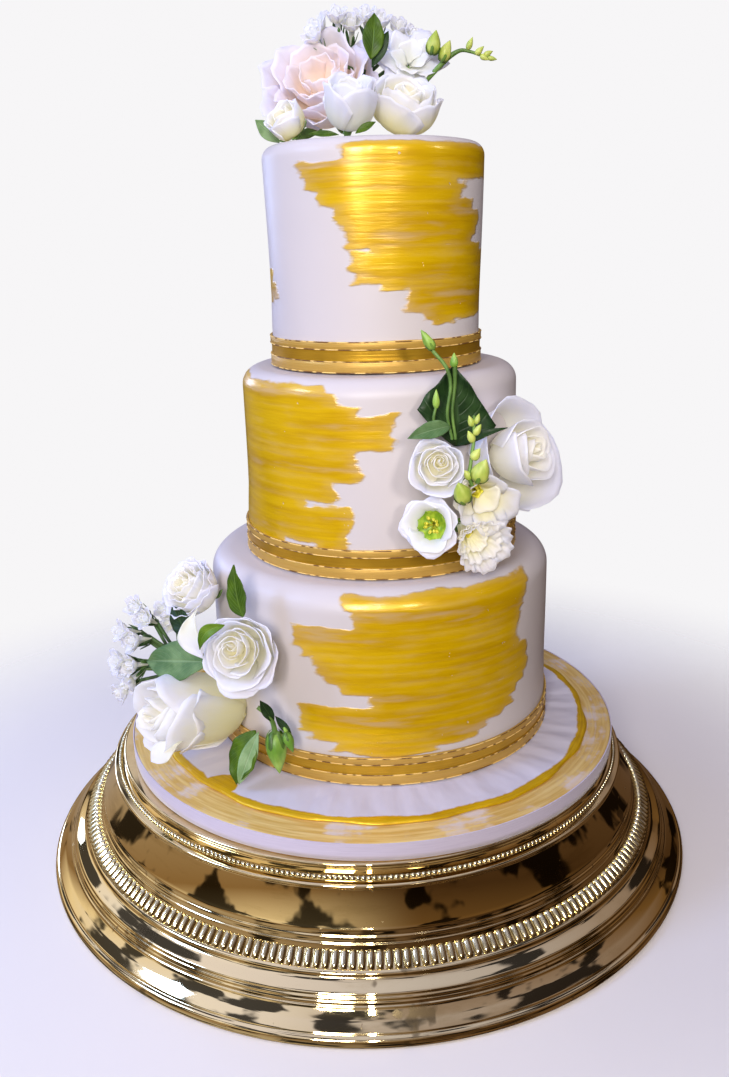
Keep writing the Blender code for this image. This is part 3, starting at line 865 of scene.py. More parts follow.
def make_ribbon(name, tier):
    inner = tier["low"] + GAP
    thick, thin = inner + STRIPE_THICKNESS, inner + CENTRE_THICKNESS
    low = tier["base"] + GAP
    high = low + RIBBON_HEIGHT
    first, second = low + LOWER_STRIPE, high - UPPER_STRIPE

    def hand_laid(radius, height, angle):
        sway = 0.22 * np.sin(3.0 * angle + 1.0) + 0.14 * np.sin(7.0 * angle)
        rise = np.clip((height - low) / 3.0, 0.0, 1.0)
        return radius, height + sway * rise

    bulge = thick + 0.05
    outline = [(thick - 0.2, low), (thick, low + 0.4), (bulge, (low + first) / 2), (thick, first - 0.3),
               (thick - 0.2, first), (thin, first + 0.3), (thin - 0.1, (first + second) / 2),
               (thin, second - 0.3), (thick - 0.2, second), (thick, second + 0.3),
               (bulge, (second + high) / 2), (thick, high - 0.4), (thick - 0.2, high), (inner, high),
               (inner, low)]
    builder = Builder()
    turn(builder, outline, tier["centre"], RIBBON_SEGMENTS, hand_laid, closed=True)
    materials = [ribbon_stripe, ribbon_centre]
    made = weld(builder.finish("ribbon_%s_satin" % name, materials, ["ribbon_" + name], "ribbon_gold", 40.0))
    across, along = tier["centre"]
    for face in made.data.polygons:
        radius = math.hypot(face.center.x / MM - across, face.center.y / MM - along)
        if first < face.center.z / MM < second and radius > inner + 0.3:
            face.material_index = 1
    return made, bulge, (low + 0.4, first - 0.1, second + 0.1, high - 0.4)


def make_threads(name, tier, radius, levels):
    """Short stitches that overlap, round each border of the stripes."""
    count = int(2.0 * math.pi * radius * STITCHES_PER_MM)
    length = math.pi * radius / count * STITCH_OVERLAP
    pieces = []
    for level in levels:
        pieces.append(grow("threads", {
            "Count": count, "Radius": radius * MM, "Height": level * MM,
            "Size": (length * MM, THREAD_RADIUS * MM, THREAD_RADIUS * MM), "Slant": STITCH_SLANT,
            "Finish": thread_gold.material}))
    bm = bmesh.new()
    for piece in pieces:
        bm.from_mesh(piece.data)
        bpy.data.objects.remove(piece, do_unlink=True)
    bmesh.ops.translate(bm, vec=Vector((*tier["centre"], 0.0)) * MM, verts=bm.verts)
    mesh = bpy.data.meshes.new("threads")
    bm.to_mesh(mesh)
    bm.free()
    mesh.materials.append(thread_gold.material)
    return present(add_object("ribbon_%s_threads" % name, mesh), [], "ribbon_gold")


for name, tier in TIERS.items():
    ribbon, radius, levels = make_ribbon(name, tier)
    stitched = make_threads(name, tier, radius, levels)
    print("Ribbon", name, "-", len(stitched.data.polygons), "thread faces")

# %% [markdown]
# ## Petals
# A petal is a thin curved sheet that is wrapped round its flower's axis.
# It could be sculpted, but each rose here has ten or more, so one function makes them all from a few numbers:
# a curve for the petal's side view, how far round it reaches, and how its lip curls, ripples and ends.
# Each petal is a grid of points, and a Solidify modifier gives all of them their thickness at once.

# %% One petal
def bezier(controls, t):
    """A smooth curve from the first control point to the last, for a whole array of steps."""
    controls = np.asarray(controls, float)
    degree = len(controls) - 1
    made = np.zeros(t.shape + (2,))
    for k, point in enumerate(controls):
        weight = math.comb(degree, k) * (1.0 - t) ** (degree - k) * t ** k
        made += weight[..., None] * point
    return made[..., 0], made[..., 1]


def petal(side_view, angle, spread, rng, round_off=0.2, point=0.0, curl=0.0, roll=0.0, lap=0.05,
          ripple=0.0, waves=2.5, foot=0.45, rows=13, columns=13):
    """Grid of one petal in a flower of radius 1 and half depth 1. Angles are in degrees."""
    t = np.linspace(0.0, 1.0, rows)[:, None] + np.zeros((1, columns))
    s = np.linspace(-1.0, 1.0, columns)[None, :] + np.zeros((rows, 1))
    reach = 1.0 - round_off * np.abs(s) ** 2.6 - point * np.abs(s) ** 1.1
    u = t * reach
    radius, height = bezier(side_view, u)
    lip = np.clip((u - 0.70) / 0.30, 0.0, 1.0) ** 1.6
    radius = radius + curl * lip * (1.0 + 0.5 * point * (1.0 - np.abs(s)))
    height = height - 0.55 * curl * lip
    radius = radius + roll * np.abs(s) ** 3 * t + lap * s * (0.3 + 0.7 * t)
    phase = rng.uniform(0.0, 6.28)
    radius = radius + ripple * np.sin(waves * math.pi * s + phase) * t ** 2.5
    height = height + 0.6 * ripple * np.sin((waves + 0.7) * math.pi * s + phase * 2.0) * t ** 3
    half = math.radians(spread) * (foot + (1.0 - foot) * t ** 0.8)
    turned = math.radians(angle) + s * half
    return np.stack([radius * np.cos(turned), radius * np.sin(turned), height], -1)


def facing_matrix(facing, spin=0.0):
    aim = Vector(facing).normalized().to_track_quat("Z", "Y").to_matrix()
    return np.array(aim @ Matrix.Rotation(math.radians(spin), 3, "Z"))


def set_in_place(grid, centre, facing, radius, depth, spin=0.0):
    """Takes a grid from a flower of radius 1 to its real size, direction and place."""
    sized = grid * np.array([radius, radius, depth])
    return sized @ facing_matrix(facing, spin).T + np.asarray(centre, float)


print("Petals are ready")

# %% Petal finishes
# Painted light: a faint emission that lifts the petals' shade, stronger at each flower's heart
PAINTED_GLOW = 0.06
PAINTED_HEART_GLOW = 0.04


def make_petal_finish(name, lip, body, base, core=None):
    """Petals are palest at the lip. Light passes a little way through them, and a faint emission, stronger at
    the heart, paints extra light into their shaded cups.
    """
    finish = Finish(name, base_color=body, roughness=0.5, subsurface_weight=0.6, subsurface_scale=0.004,
                    subsurface_radius=(1.0, 0.9, 0.7), emission_strength=1.0)
    uv = finish.node("ShaderNodeUVMap", {"uv_map": "surface"})
    u, v, _ = finish.parts(uv)
    heart = finish.attribute("tint")
    stretched = finish.node("ShaderNodeMapping", {}, {"Vector": uv, "Scale": (26.0, 2.2, 1.0)})
    veins = finish.noise(stretched, 1.0, 3.0, 0.5)
    cloud = finish.noise(finish.place(), 60.0, 2.0)
    along = v + (cloud - 0.5) * 0.25
    colour = finish.mix(along.step(0.45, 0.95), body, lip)
    colour = finish.mix((1.0 - along.step(0.40, 1.0)) * (0.95 - heart * 0.55), colour, base)
    warm = core or tuple(0.12 * light + 0.88 * dark for light, dark in zip(lip, base))
    colour = finish.mix(heart * 0.82 * (1.0 - 0.45 * v), colour, warm)
    colour = finish.mix(veins.step(0.45, 0.75) * 0.10, colour, body)
    finish.drive("Base Color", colour)
    finish.drive("Emission Color", finish.mix(PAINTED_GLOW + heart * PAINTED_HEART_GLOW, (0.0, 0.0, 0.0), colour))
    finish.bump(veins, 0.0004, 0.3)
    return finish


petal_white = make_petal_finish("white petals", (0.79, 0.80, 0.97), (0.80, 0.80, 0.89), (0.79, 0.79, 0.62))
petal_ivory = make_petal_finish("ivory petals", (0.80, 0.81, 0.98), (0.83, 0.83, 0.92),
                                (0.84, 0.81, 0.64), core=(0.88, 0.79, 0.34))
petal_cream = make_petal_finish("cream petals", (0.82, 0.82, 0.93), (0.85, 0.83, 0.68), (0.86, 0.78, 0.33))
petal_blush = make_petal_finish("blush petals", (0.79, 0.75, 0.92), (0.85, 0.74, 0.71), (0.89, 0.67, 0.48))


def make_plain_plant(name, dark, light, scale=90.0):
    """Colour of stems, sepals, buds and stamens: mottled, with fine streaks."""
    finish = Finish(name, base_color=light, roughness=0.45, subsurface_weight=0.15,
                    subsurface_scale=0.002, subsurface_radius=(0.6, 1.0, 0.2))
    mottle = finish.noise(finish.place((1.0, 1.0, 0.5)), scale, 3.0)
    finish.drive("Base Color", finish.mix(mottle.step(0.35, 0.65), dark, light))
    finish.bump(mottle, 0.0004, 0.4)
    return finish


sepal_green = make_plain_plant("sepals", (0.05, 0.12, 0.015), (0.17, 0.32, 0.05))
stem_green = make_plain_plant("stems", (0.05, 0.12, 0.02), (0.16, 0.30, 0.06))
bud_yellow = make_plain_plant("freesia buds", (0.30, 0.42, 0.04), (0.56, 0.64, 0.15))
bud_green = make_plain_plant("lisianthus buds", (0.13, 0.30, 0.03), (0.34, 0.54, 0.10))
stamen_yellow = make_plain_plant("stamens", (0.58, 0.54, 0.02), (0.80, 0.74, 0.08), 400.0)
floret_green = make_plain_plant("floret stems", (0.015, 0.05, 0.008), (0.07, 0.15, 0.03))
throat_green = make_plain_plant("flower throat", (0.15, 0.30, 0.01), (0.40, 0.56, 0.04), 200.0)

# %% [markdown]
# ## Flowers ring by ring
# A rose is built from its heart outwards: tight, rolled petals first, then wider, lower and more open ones.
# A list of rings says how many petals each has and how they stand. Random numbers with a seed vary them.
# Looser blooms have other side views, and some get a small green or yellow throat with stamens.
# In the real sprays few flowers are even, so a plan may also move its heart away from the middle.

# %% Rings of petals
def ring(count, side_view, spread, curl, roll, point, ripple, round_off=0.22):
    """One ring: how many petals, their side view from foot to lip, and half the angle each one covers."""
    return {"count": count, "side_view": side_view, "spread": spread, "curl": curl, "roll": roll,
            "point": point, "ripple": ripple, "round_off": round_off}


BUD_RINGS = (
    ring(2, ((0.02, -0.2), (0.13, -0.1), (0.15, 0.45), (0.06, 0.78)), 125, 0.0, 0.0, 0.06, 0.01),
    ring(3, ((0.04, -0.3), (0.24, -0.2), (0.27, 0.42), (0.20, 0.80)), 98, 0.02, 0.0, 0.08, 0.015),
    ring(3, ((0.05, -0.5), (0.38, -0.4), (0.43, 0.32), (0.38, 0.78)), 90, 0.05, 0.02, 0.08, 0.02),
)
WIDE_RINGS = (
    ring(4, ((0.07, -0.7), (0.56, -0.6), (0.62, 0.15), (0.59, 0.68)), 76, 0.09, 0.02, 0.08, 0.03),
    ring(4, ((0.08, -0.9), (0.80, -0.85), (0.80, 0.0), (0.84, 0.54)), 74, 0.13, 0.03, 0.10, 0.035, 0.28),
    ring(5, ((0.10, -1.0), (0.98, -0.95), (0.96, -0.05), (1.03, 0.34)), 60, 0.12, 0.02, 0.14, 0.04, 0.30),
)
BROAD_RINGS = (
    ring(3, ((0.07, -0.7), (0.50, -0.6), (0.58, 0.15), (0.56, 0.66)), 92, 0.07, 0.02, 0.06, 0.03, 0.24),
    ring(3, ((0.10, -1.0), (1.00, -0.95), (0.98, -0.05), (1.03, 0.36)), 90, 0.12, 0.02, 0.12, 0.035, 0.30),
)
BLOWN_RINGS = (
    ring(3, ((0.03, -0.4), (0.30, -0.35), (0.38, 0.10), (0.30, 0.40)), 95, 0.03, 0.0, 0.05, 0.02),
    ring(4, ((0.05, -0.6), (0.50, -0.5), (0.58, 0.05), (0.57, 0.46)), 76, 0.07, 0.02, 0.12, 0.035),
    ring(5, ((0.08, -0.8), (0.70, -0.7), (0.76, 0.0), (0.86, 0.50)), 62, 0.12, 0.03, 0.20, 0.04),
    ring(6, ((0.10, -0.95), (0.86, -0.85), (0.90, -0.1), (1.10, 0.30)), 50, 0.15, 0.02, 0.30, 0.045),
)
CUP_RINGS = (
    ring(3, ((0.05, -0.8), (0.55, -0.8), (0.52, 0.3), (0.40, 0.72)), 85, 0.02, 0.0, 0.05, 0.02),
    ring(3, ((0.08, -0.95), (0.90, -0.95), (0.84, 0.2), (0.70, 0.84)), 78, 0.07, 0.02, 0.10, 0.03),
    ring(4, ((0.10, -1.0), (1.12, -1.0), (1.02, 0.1), (0.92, 0.80)), 66, 0.13, 0.03, 0.12, 0.035),
)
STAR_RINGS = (
    ring(4, ((0.06, -0.6), (0.20, -0.2), (0.38, 0.1), (0.50, 0.34)), 56, 0.02, 0.02, 0.20, 0.04),
    ring(5, ((0.08, -0.8), (0.22, -0.4), (0.55, 0.0), (0.90, 0.24)), 46, 0.02, 0.0, 0.34, 0.04),
    ring(6, ((0.10, -1.0), (0.24, -0.6), (0.62, -0.2), (1.15, 0.05)), 40, 0.0, -0.03, 0.46, 0.04),
)
BELL_RINGS = (
    ring(3, ((0.46, -0.60), (0.52, -0.10), (0.66, 0.26), (0.92, 0.40)), 82, 0.02, 0.0, 0.02, 0.06),
    ring(3, ((0.47, -0.66), (0.56, -0.20), (0.76, 0.10), (1.06, 0.24)), 80, 0.04, 0.0, 0.03, 0.07),
)
FUNNEL_RINGS = (
    ring(3, ((0.08, -0.6), (0.30, -0.2), (0.58, 0.0), (0.84, 0.20)), 62, 0.04, 0.0, 0.05, 0.05),
    ring(4, ((0.10, -1.0), (0.34, -0.4), (0.72, -0.1), (1.06, 0.12)), 58, 0.08, -0.01, 0.06, 0.06),
)
FRINGED_RINGS = (
    ring(4, ((0.08, -0.5), (0.30, -0.1), (0.42, 0.2), (0.58, 0.60)), 58, 0.03, 0.0, 0.02, 0.05),
    ring(5, ((0.09, -0.8), (0.40, -0.2), (0.66, 0.15), (0.82, 0.50)), 50, 0.06, 0.0, 0.02, 0.06),
    ring(6, ((0.10, -1.0), (0.40, -0.4), (0.78, 0.0), (1.06, 0.30)), 44, 0.06, 0.0, 0.03, 0.06),
)
GOLDEN_ANGLE = 137.5
FITTED = 0.97
FINE_WAVES = 4.0


def settle(plan):
    """Returns a function that takes unit grids to the flower's place. Share is 1 at the heart, 0 outside."""
    shift = np.asarray(plan.get("heart", (0.0, 0.0, 0.0)), float)

    def place(grid, share=1.0):
        upwards = np.linspace(1.0, 0.0, grid.shape[0])[:, None, None]
        radius = plan["radius"] * FITTED
        set_grid = set_in_place(grid, plan["centre"], plan["facing"], radius, plan["depth"])
        return set_grid + shift * (share + (1.0 - share) * upwards)

    return place


def add_rings(builder, place, rings, seed, fray=0.0, waves=2.5):
    """Adds every petal of a flower, each ring turned a little from the one inside it."""
    rng = np.random.default_rng(seed)
    turned = rng.uniform(0.0, 360.0)
    columns = 13 if waves < FINE_WAVES else 25
    for k, plan in enumerate(rings):
        turned += GOLDEN_ANGLE
        share = 1.0 - k / max(1.0, len(rings) - 1.0)
        for i in range(plan["count"]):
            angle = turned + 360.0 * i / plan["count"] + rng.uniform(-9.0, 9.0)
            tall = 1.0 + rng.uniform(-0.08, 0.06)
            wide = 1.0 + rng.uniform(-0.05, 0.04)
            view = [(r * wide, h * tall) for r, h in plan["side_view"]]
            spread = plan["spread"] * rng.uniform(0.92, 1.08)
            point = plan["point"] * rng.uniform(0.3, 1.5)
            curl = plan["curl"] * rng.uniform(0.6, 1.4)
            grid = petal(view, angle, spread, rng, plan["round_off"], point, curl, plan["roll"],
                         ripple=plan["ripple"] + fray, waves=waves, columns=columns)
            builder.grid(place(grid, share), number=share)


SEPAL_WIDTH = 17.0
SEPAL_REACH = -0.6


def add_calyx(builder, place, rng, count):
    """The green sepals under a flower, and the swelling that they grow from."""
    for i in range(count):
        tip = (1.02, SEPAL_REACH + rng.uniform(-0.15, 0.1))
        side_view = ((0.10, -1.06), (0.62, -1.04), (0.96, -0.75), tip)
        angle = 360.0 * i / count + 20.0
        grid = petal(side_view, angle, SEPAL_WIDTH, rng, round_off=0.0, rows=9, columns=7, foot=1.2)
        taper = np.linspace(1.0, 0.08, 9)[:, None, None]
        middle = grid[:, 3:4]
        builder.grid(place(middle + (grid - middle) * taper ** 0.8), slot=1)
    knob = [(0.02, -1.30), (0.12, -1.28), (0.17, -1.14), (0.16, -1.02), (0.30, -0.96), (0.02, -0.90)]
    steps = np.linspace(0.0, 2.0 * math.pi, 12, endpoint=False)
    points = np.array([[(r * math.cos(a), r * math.sin(a), h) for a in steps] for r, h in knob])
    builder.grid(place(points), slot=1, around=True)


def add_throat(builder, place, rng, wide, slot, stamens):
    """A small cup in the middle of an open bloom, with short stamens that end in round anthers."""
    cup = [(wide * share, -0.58 + 0.44 * share ** 2) for share in (0.05, 0.35, 0.7, 0.9, 1.0)]
    steps = np.linspace(0.0, 2.0 * math.pi, 25, endpoint=False)
    lobes = 1.0 + 0.16 * np.cos(5.0 * steps)
    across, along = lobes * np.cos(steps), lobes * np.sin(steps)
    points = np.array([np.stack([r * across, r * along, np.full(steps.shape, h)], -1) for r, h in cup])
    builder.grid(place(points), slot=slot, around=True)
    turns = np.linspace(0.0, 2.0 * math.pi, 6, endpoint=False)
    circle = np.stack([np.cos(turns), np.sin(turns), np.zeros(6)], -1)
    for i in range(stamens):
        angle = 2.0 * math.pi * i / stamens + rng.uniform(-0.3, 0.3)
        away = wide * 0.55 * rng.uniform(0.5, 1.1)
        top = -0.12 + rng.uniform(-0.06, 0.06)
        rows = []
        for share, size in ((0.0, 0.25), (0.7, 0.2), (0.75, 0.7), (0.87, 1.0), (1.0, 0.5)):
            out = away * share
            middle = np.array([out * math.cos(angle), out * math.sin(angle), -0.5 + (top + 0.5) * share])
            rows.append(middle + 0.06 * size * circle)
        builder.grid(place(np.array(rows)), slot=2, around=True)


PETAL_THICKNESS = 0.3
SOFT_EDGE = 80.0


def finish_petals(builder, node, petal_finish, slot_name, green):
    """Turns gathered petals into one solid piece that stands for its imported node."""
    materials = [petal_finish, green, stamen_yellow, throat_green]
    made = builder.finish(node + "_petals", materials, [node], slot_name, SOFT_EDGE)
    return thicken(made, PETAL_THICKNESS)


print("Rings of petals are ready")

# %% The large blooms
def bloom(centre, facing, radius, depth, seed, finish, slot, rings, **more):
    """One flower: where it is, which way it looks, how large it is, its seed, its finish and its rings."""
    return {"centre": centre, "facing": facing, "radius": radius, "depth": depth, "seed": seed,
            "finish": finish, "slot": slot, "rings": rings, **more}


FLOWERS = {
    "rose_top_large": bloom((-19, 4, 530), (-0.20, -0.74, 0.62), 35, 27, 3, petal_blush, "petal_blush",
                            BLOWN_RINGS, fray=0.012, waves=3.6, sepals=5),
    "rose_top_cup": bloom((-1, -45, 511.5), (0.1, -0.42, 0.9), 15.5, 16, 31, petal_white, "petal_white",
                          CUP_RINGS, fray=0.014, waves=3.2),
    "rose_top_cream": bloom((33, -30, 509.5), (0.2, -0.50, 0.85), 20, 15.5, 5, petal_cream, "petal_cream",
                            BUD_RINGS[1:] + CUP_RINGS[1:], fray=0.012, waves=3.4),
    "lisianthus_top": bloom((37, 0, 540), (0.10, -0.90, 0.42), 22.5, 11, 35, petal_white, "petal_white",
                            STAR_RINGS),
    "lisianthus_top_small": bloom((-40, -29, 503), (-0.55, -0.5, 0.65), 11.5, 10, 33, petal_cream,
                                  "petal_cream", CUP_RINGS, sepals=5),
    "rose_middle_large": bloom((99.5, -70, 299), (0.68, -0.66, 0.30), 33, 26, 8, petal_ivory,
                               "petal_cream", BUD_RINGS + BROAD_RINGS, heart=(-1, -1, 4)),
    "rose_middle_small": bloom((45, -113, 303), (0.05, -0.94, 0.32), 18.5, 13, 11, petal_ivory,
                               "petal_cream", BUD_RINGS + WIDE_RINGS[:2], heart=(2, 0, 4)),
    "lisianthus_middle": bloom((41.5, -116, 269), (-0.42, -0.90, 0.14), 17.5, 13, 37, petal_white,
                               "petal_white", BELL_RINGS, throat=(0.60, 3, 9)),
    "freesia_middle_upper": bloom((76, -111, 279), (0.25, -0.95, -0.20), 18, 15, 39, petal_cream,
                                  "petal_cream", FUNNEL_RINGS, heart=(-6, 0, 8), throat=(0.22, 2, 4)),
    "freesia_middle_lower": bloom((74.5, -105, 253), (0.30, -0.88, -0.15), 17, 14, 41, petal_cream,
                                  "petal_cream", FRINGED_RINGS, heart=(-9, 0, 7), throat=(0.20, 2, 4),
                                  waves=4.2),
    "rose_bottom_upper": bloom((-114.5, -64, 214), (-0.55, -0.55, 0.60), 20, 16, 14, petal_ivory,
                               "petal_cream", BUD_RINGS[1:] + WIDE_RINGS, fray=0.015, waves=4.5, sepals=3),
    "rose_bottom_right": bloom((-76, -116, 187.5), (-0.26, -0.90, 0.34), 22.8, 17, 17, petal_ivory,
                               "petal_cream", BUD_RINGS + WIDE_RINGS, heart=(-3, 0, 6)),
    "rose_bottom_large": bloom((-117, -87, 134), (-0.80, -0.55, 0.20), 25, 40, 21, petal_cream,
                               "petal_cream", BUD_RINGS + CUP_RINGS[1:] + WIDE_RINGS[2:], heart=(-2, -2, 3)),
}


def make_flower(name, plan):
    builder = Builder()
    place = settle(plan)
    rng = np.random.default_rng(plan["seed"] + 100)
    add_rings(builder, place, plan["rings"], plan["seed"], plan.get("fray", 0.0), plan.get("waves", 2.5))
    add_calyx(builder, place, rng, plan.get("sepals", 0))
    if "throat" in plan:
        add_throat(builder, place, rng, *plan["throat"])
    return finish_petals(builder, name, plan["finish"], plan["slot"], sepal_green)


for name, plan in FLOWERS.items():
    flower = make_flower(name, plan)
    print(name, "-", len(flower.data.polygons), "faces before thickness")

# %% [markdown]
# ## Small florets
# Bunches of tiny double florets sit behind the large blooms, two to a piece here.
# Each has a slim white tube, two rings of small petals, green sepals and a stalk back into the bunch.

# %% Tubes along a path
PATH_STEPS = 6


def smooth_path(knots):
    """A rounded path through the knots: rows of x, y, z and radius."""
    knots = np.asarray(knots, float)
    padded = np.concatenate([2 * knots[:1] - knots[1:2], knots, 2 * knots[-1:] - knots[-2:-1]])
    made = []
    for a, b, c, d in zip(padded, padded[1:], padded[2:], padded[3:]):
        for t in np.linspace(0.0, 1.0, PATH_STEPS, endpoint=False):
            made.append(0.5 * (2 * b + (c - a) * t + (2 * a - 5 * b + 4 * c - d) * t ** 2
                               + (3 * b - a - 3 * c + d) * t ** 3))
    made.append(knots[-1])
    return np.array(made)


def add_tube(builder, knots, slot=0, sides=8):
    """A stem: a tube through knots of x, y, z and radius, closed at both ends."""
    path = smooth_path(knots)
    turns = np.linspace(0.0, 2.0 * math.pi, sides, endpoint=False)
    tangents = np.gradient(path[:, :3], axis=0)
    rows = []
    side = np.cross(tangents[0], (0.3, 0.9, 0.1))
    for point, tangent in zip(path, tangents):
        tangent = tangent / np.linalg.norm(tangent)
        side = side - tangent * (side @ tangent)
        side = side / np.linalg.norm(side)
        other = np.cross(tangent, side)
        radius = max(point[3], 0.1)
        rows.append([point[:3] + radius * (side * math.cos(a) + other * math.sin(a)) for a in turns])
    start = builder.grid(np.array(rows), slot=slot, around=True)
    builder.close_ends(start, len(rows), sides, slot)


print("Tubes are ready")

# %% Florets
FLORET_RADIUS = 8.2
FLORET_DEPTH = 9.0
FIRST_FLORET_SEED = 50
TOP_BUNCH = (8.0, 12.0, 532.0)
SIDE_BUNCH = (-124.0, -60.0, 160.0)
TOP_FACING = (-0.1, -0.55, 0.8)
SIDE_FACING = (-0.75, -0.55, 0.30)
FLORETS = {
    "floret_top_a": (((-19, 20, 562), (-22, 12, 555)), (-0.5, -0.5, 0.7), TOP_BUNCH),
    "floret_top_b": (((-8, 14, 566), (1, 18, 562)), TOP_FACING, TOP_BUNCH),
    "floret_top_c": (((10, 20, 567), (19, 16, 563)), TOP_FACING, TOP_BUNCH),
    "floret_top_d": (((31, 22, 560), (39, 18, 554)), (0.3, -0.5, 0.8), TOP_BUNCH),
    "floret_side_a": (((-156, -44, 193), (-149, -50, 187)), (-0.5, -0.6, 0.6), SIDE_BUNCH),
    "floret_side_b": (((-162, -60, 183), (-154, -64, 178)), SIDE_FACING, SIDE_BUNCH),
    "floret_side_c": (((-167, -42, 175), (-158, -52, 170)), SIDE_FACING, SIDE_BUNCH),
    "floret_side_d": (((-166, -64, 163), (-157, -66, 160)), SIDE_FACING, SIDE_BUNCH),
    "floret_side_e": (((-171, -46, 152), (-163, -52, 147)), (-0.8, -0.55, 0.0), SIDE_BUNCH),
    "floret_side_f": (((-166, -62, 140), (-160, -64, 148)), (-0.75, -0.5, -0.3), SIDE_BUNCH),
    "floret_side_g": (((-139, -32, 187), (-135, -38, 179)), (-0.4, -0.7, 0.5), SIDE_BUNCH),
}
FLORET_RINGS = (
    ring(3, ((0.06, 0.0), (0.34, 0.1), (0.46, 0.50), (0.26, 0.90)), 70, 0.02, 0.0, 0.10, 0.05, 0.30),
    ring(5, ((0.10, -0.2), (0.50, -0.1), (0.74, 0.30), (0.84, 0.78)), 48, 0.14, -0.02, 0.14, 0.06, 0.35),
)


def add_floret(builder, centre, facing, bunch, seed):
    def place(grid, share=1.0):
        return set_in_place(grid, centre, facing, FLORET_RADIUS, FLORET_DEPTH, spin=seed * 31.0)

    rng = np.random.default_rng(seed)
    add_rings(builder, place, FLORET_RINGS, seed)
    tube = place(np.array([[(0.0, 0.0, -1.3), (0.0, 0.0, -0.6), (0.0, 0.0, 0.1)]]))[0]
    add_tube(builder, [(*p, r) for p, r in zip(tube, (1.2, 1.5, 2.0))])
    stalk = np.asarray(tube[0])
    end = np.asarray(bunch, float) + rng.uniform(-5.0, 5.0, 3)
    middle = stalk * 0.45 + end * 0.55 + np.array([0.0, 0.0, -2.0])
    add_tube(builder, [(*stalk, 1.2), (*middle, 1.0), (*end, 0.9)], slot=1)
    for i in range(5):
        view = ((0.14, -1.35), (0.30, -1.15), (0.40, -0.85), (0.55, -0.30))
        builder.grid(place(petal(view, 72.0 * i, 24.0, rng, rows=5, columns=5, round_off=0.6)), slot=1)


def make_florets(name, centres, facing, bunch, seed):
    builder = Builder()
    for k, centre in enumerate(centres):
        aim = np.asarray(facing, float) + np.array([0.12, -0.05, -0.12]) * k
        add_floret(builder, centre, tuple(aim), bunch, seed + 7 * k)
    return finish_petals(builder, name, petal_white, "petal_white", floret_green)


for k, (name, plan) in enumerate(FLORETS.items()):
    make_florets(name, *plan, FIRST_FLORET_SEED + k)
print(2 * len(FLORETS), "florets made")

# %% [markdown]
# ## Leaves and loose petals
# A leaf is a flat blade with a fold along its midrib, a slight bow, and side veins that slope to the tip.
# Its outline comes from one sine curve whose widest place can be moved. A kite leaf has straighter sides.
# The finish draws the veins from the UV map. Two loose petals are the same blade in a petal's finish.

# %% Leaf finishes
def make_leaf_finish(name, dark, light, vein_colour, shine=0.38):
    finish = Finish(name, base_color=light, roughness=shine, specular_ior_level=0.3)
    uv = finish.node("ShaderNodeUVMap", {"uv_map": "surface"})
    u, v, _ = finish.parts(uv)
    from_rib = (u - 0.5).absolute() * 2.0
    rib = 1.0 - from_rib.step(0.03, 0.10)
    slanted = v * 9.0 - from_rib * 3.2
    saw = slanted.math("FRACT", slanted)
    side = 1.0 - (saw - 0.5).absolute().step(0.0, 0.13)
    veins = rib.math("MAXIMUM", rib, side * 0.45)
    mottle = finish.noise(finish.place(), 70.0, 4.0)
    blade = finish.mix(mottle.step(0.35, 0.68), dark, light)
    finish.drive("Base Color", finish.mix(veins * 0.5, blade, vein_colour))
    finish.drive("Roughness", shine + mottle * 0.15)
    finish.bump(mottle * 0.4 - veins * 0.7, 0.0008, 0.7)
    return finish


leaf_bright = make_leaf_finish("bright leaf", (0.032, 0.080, 0.003), (0.088, 0.175, 0.006),
                               (0.16, 0.27, 0.04))
leaf_fresh = make_leaf_finish("fresh leaf", (0.07, 0.16, 0.006), (0.17, 0.30, 0.02), (0.26, 0.40, 0.08))
leaf_dark = make_leaf_finish("dark leaf", (0.007, 0.026, 0.006), (0.025, 0.066, 0.016), (0.05, 0.11, 0.03))
leaf_grey = make_leaf_finish("grey green leaf", (0.075, 0.16, 0.055), (0.16, 0.27, 0.11),
                             (0.24, 0.36, 0.18), 0.5)
leaf_under = make_leaf_finish("pale leaf underside", (0.18, 0.32, 0.13), (0.32, 0.48, 0.24),
                              (0.40, 0.55, 0.30), 0.55)

# %% The blades
def blade(base, tip, facing, width, bow, fold, widest, finish, kite=False, skew=0.0, sway=0.0):
    """Where one leaf grows from and ends, the way its face looks, and its shape in millimetres and shares."""
    return {"base": base, "tip": tip, "facing": facing, "width": width, "bow": bow, "fold": fold,
            "widest": widest, "finish": finish, "kite": kite, "skew": skew, "sway": sway}


LEAVES = {
    "leaf_top": blade((12.5, -16, 538), (15, -12, 564), (0.2, -0.9, 0.3), 13.5, 2.0, 0.15, 0.45, leaf_bright),
    "leaf_top_side": blade((-46, -14, 492), (-60, -18, 505), (-0.3, -0.8, 0.5), 10.0, 1.0, 0.1, 0.5,
                           leaf_under),
    "leaf_middle_large": blade((58.5, -92, 312), (56, -95, 361), (0.20, -0.95, 0.15), 49.0, 3.0, 0.14,
                               0.38, leaf_dark, kite=True, skew=-8.0),
    "leaf_middle_small": blade((54, -106, 327), (28, -118, 322.5), (0.1, -0.85, 0.5), 10.5, 2.5, 0.3,
                               0.45, leaf_grey),
    "leaf_bottom_large": blade((-100, -97, 175), (-147, -66, 163), (-0.3, -0.8, 0.5), 27.0, 3.0, 0.12,
                               0.45, leaf_grey),
    "leaf_bottom_tall": blade((-75, -108, 210), (-79, -103, 243), (-0.5, -0.8, 0.1), 15.0, 2.0, 0.2, 0.4,
                              leaf_bright),
    "leaf_bottom_curled": blade((-83, -131, 214.5), (-99, -131, 199), (-0.3, -0.9, 0.3), 8.0, 3.0, 0.4,
                                0.45, leaf_fresh, sway=4.0),
    "leaf_bottom_low": blade((-71, -113, 134), (-84, -121, 100), (-0.5, -0.7, 0.5), 23.0, 3.0, 0.15, 0.45,
                             leaf_bright),
}
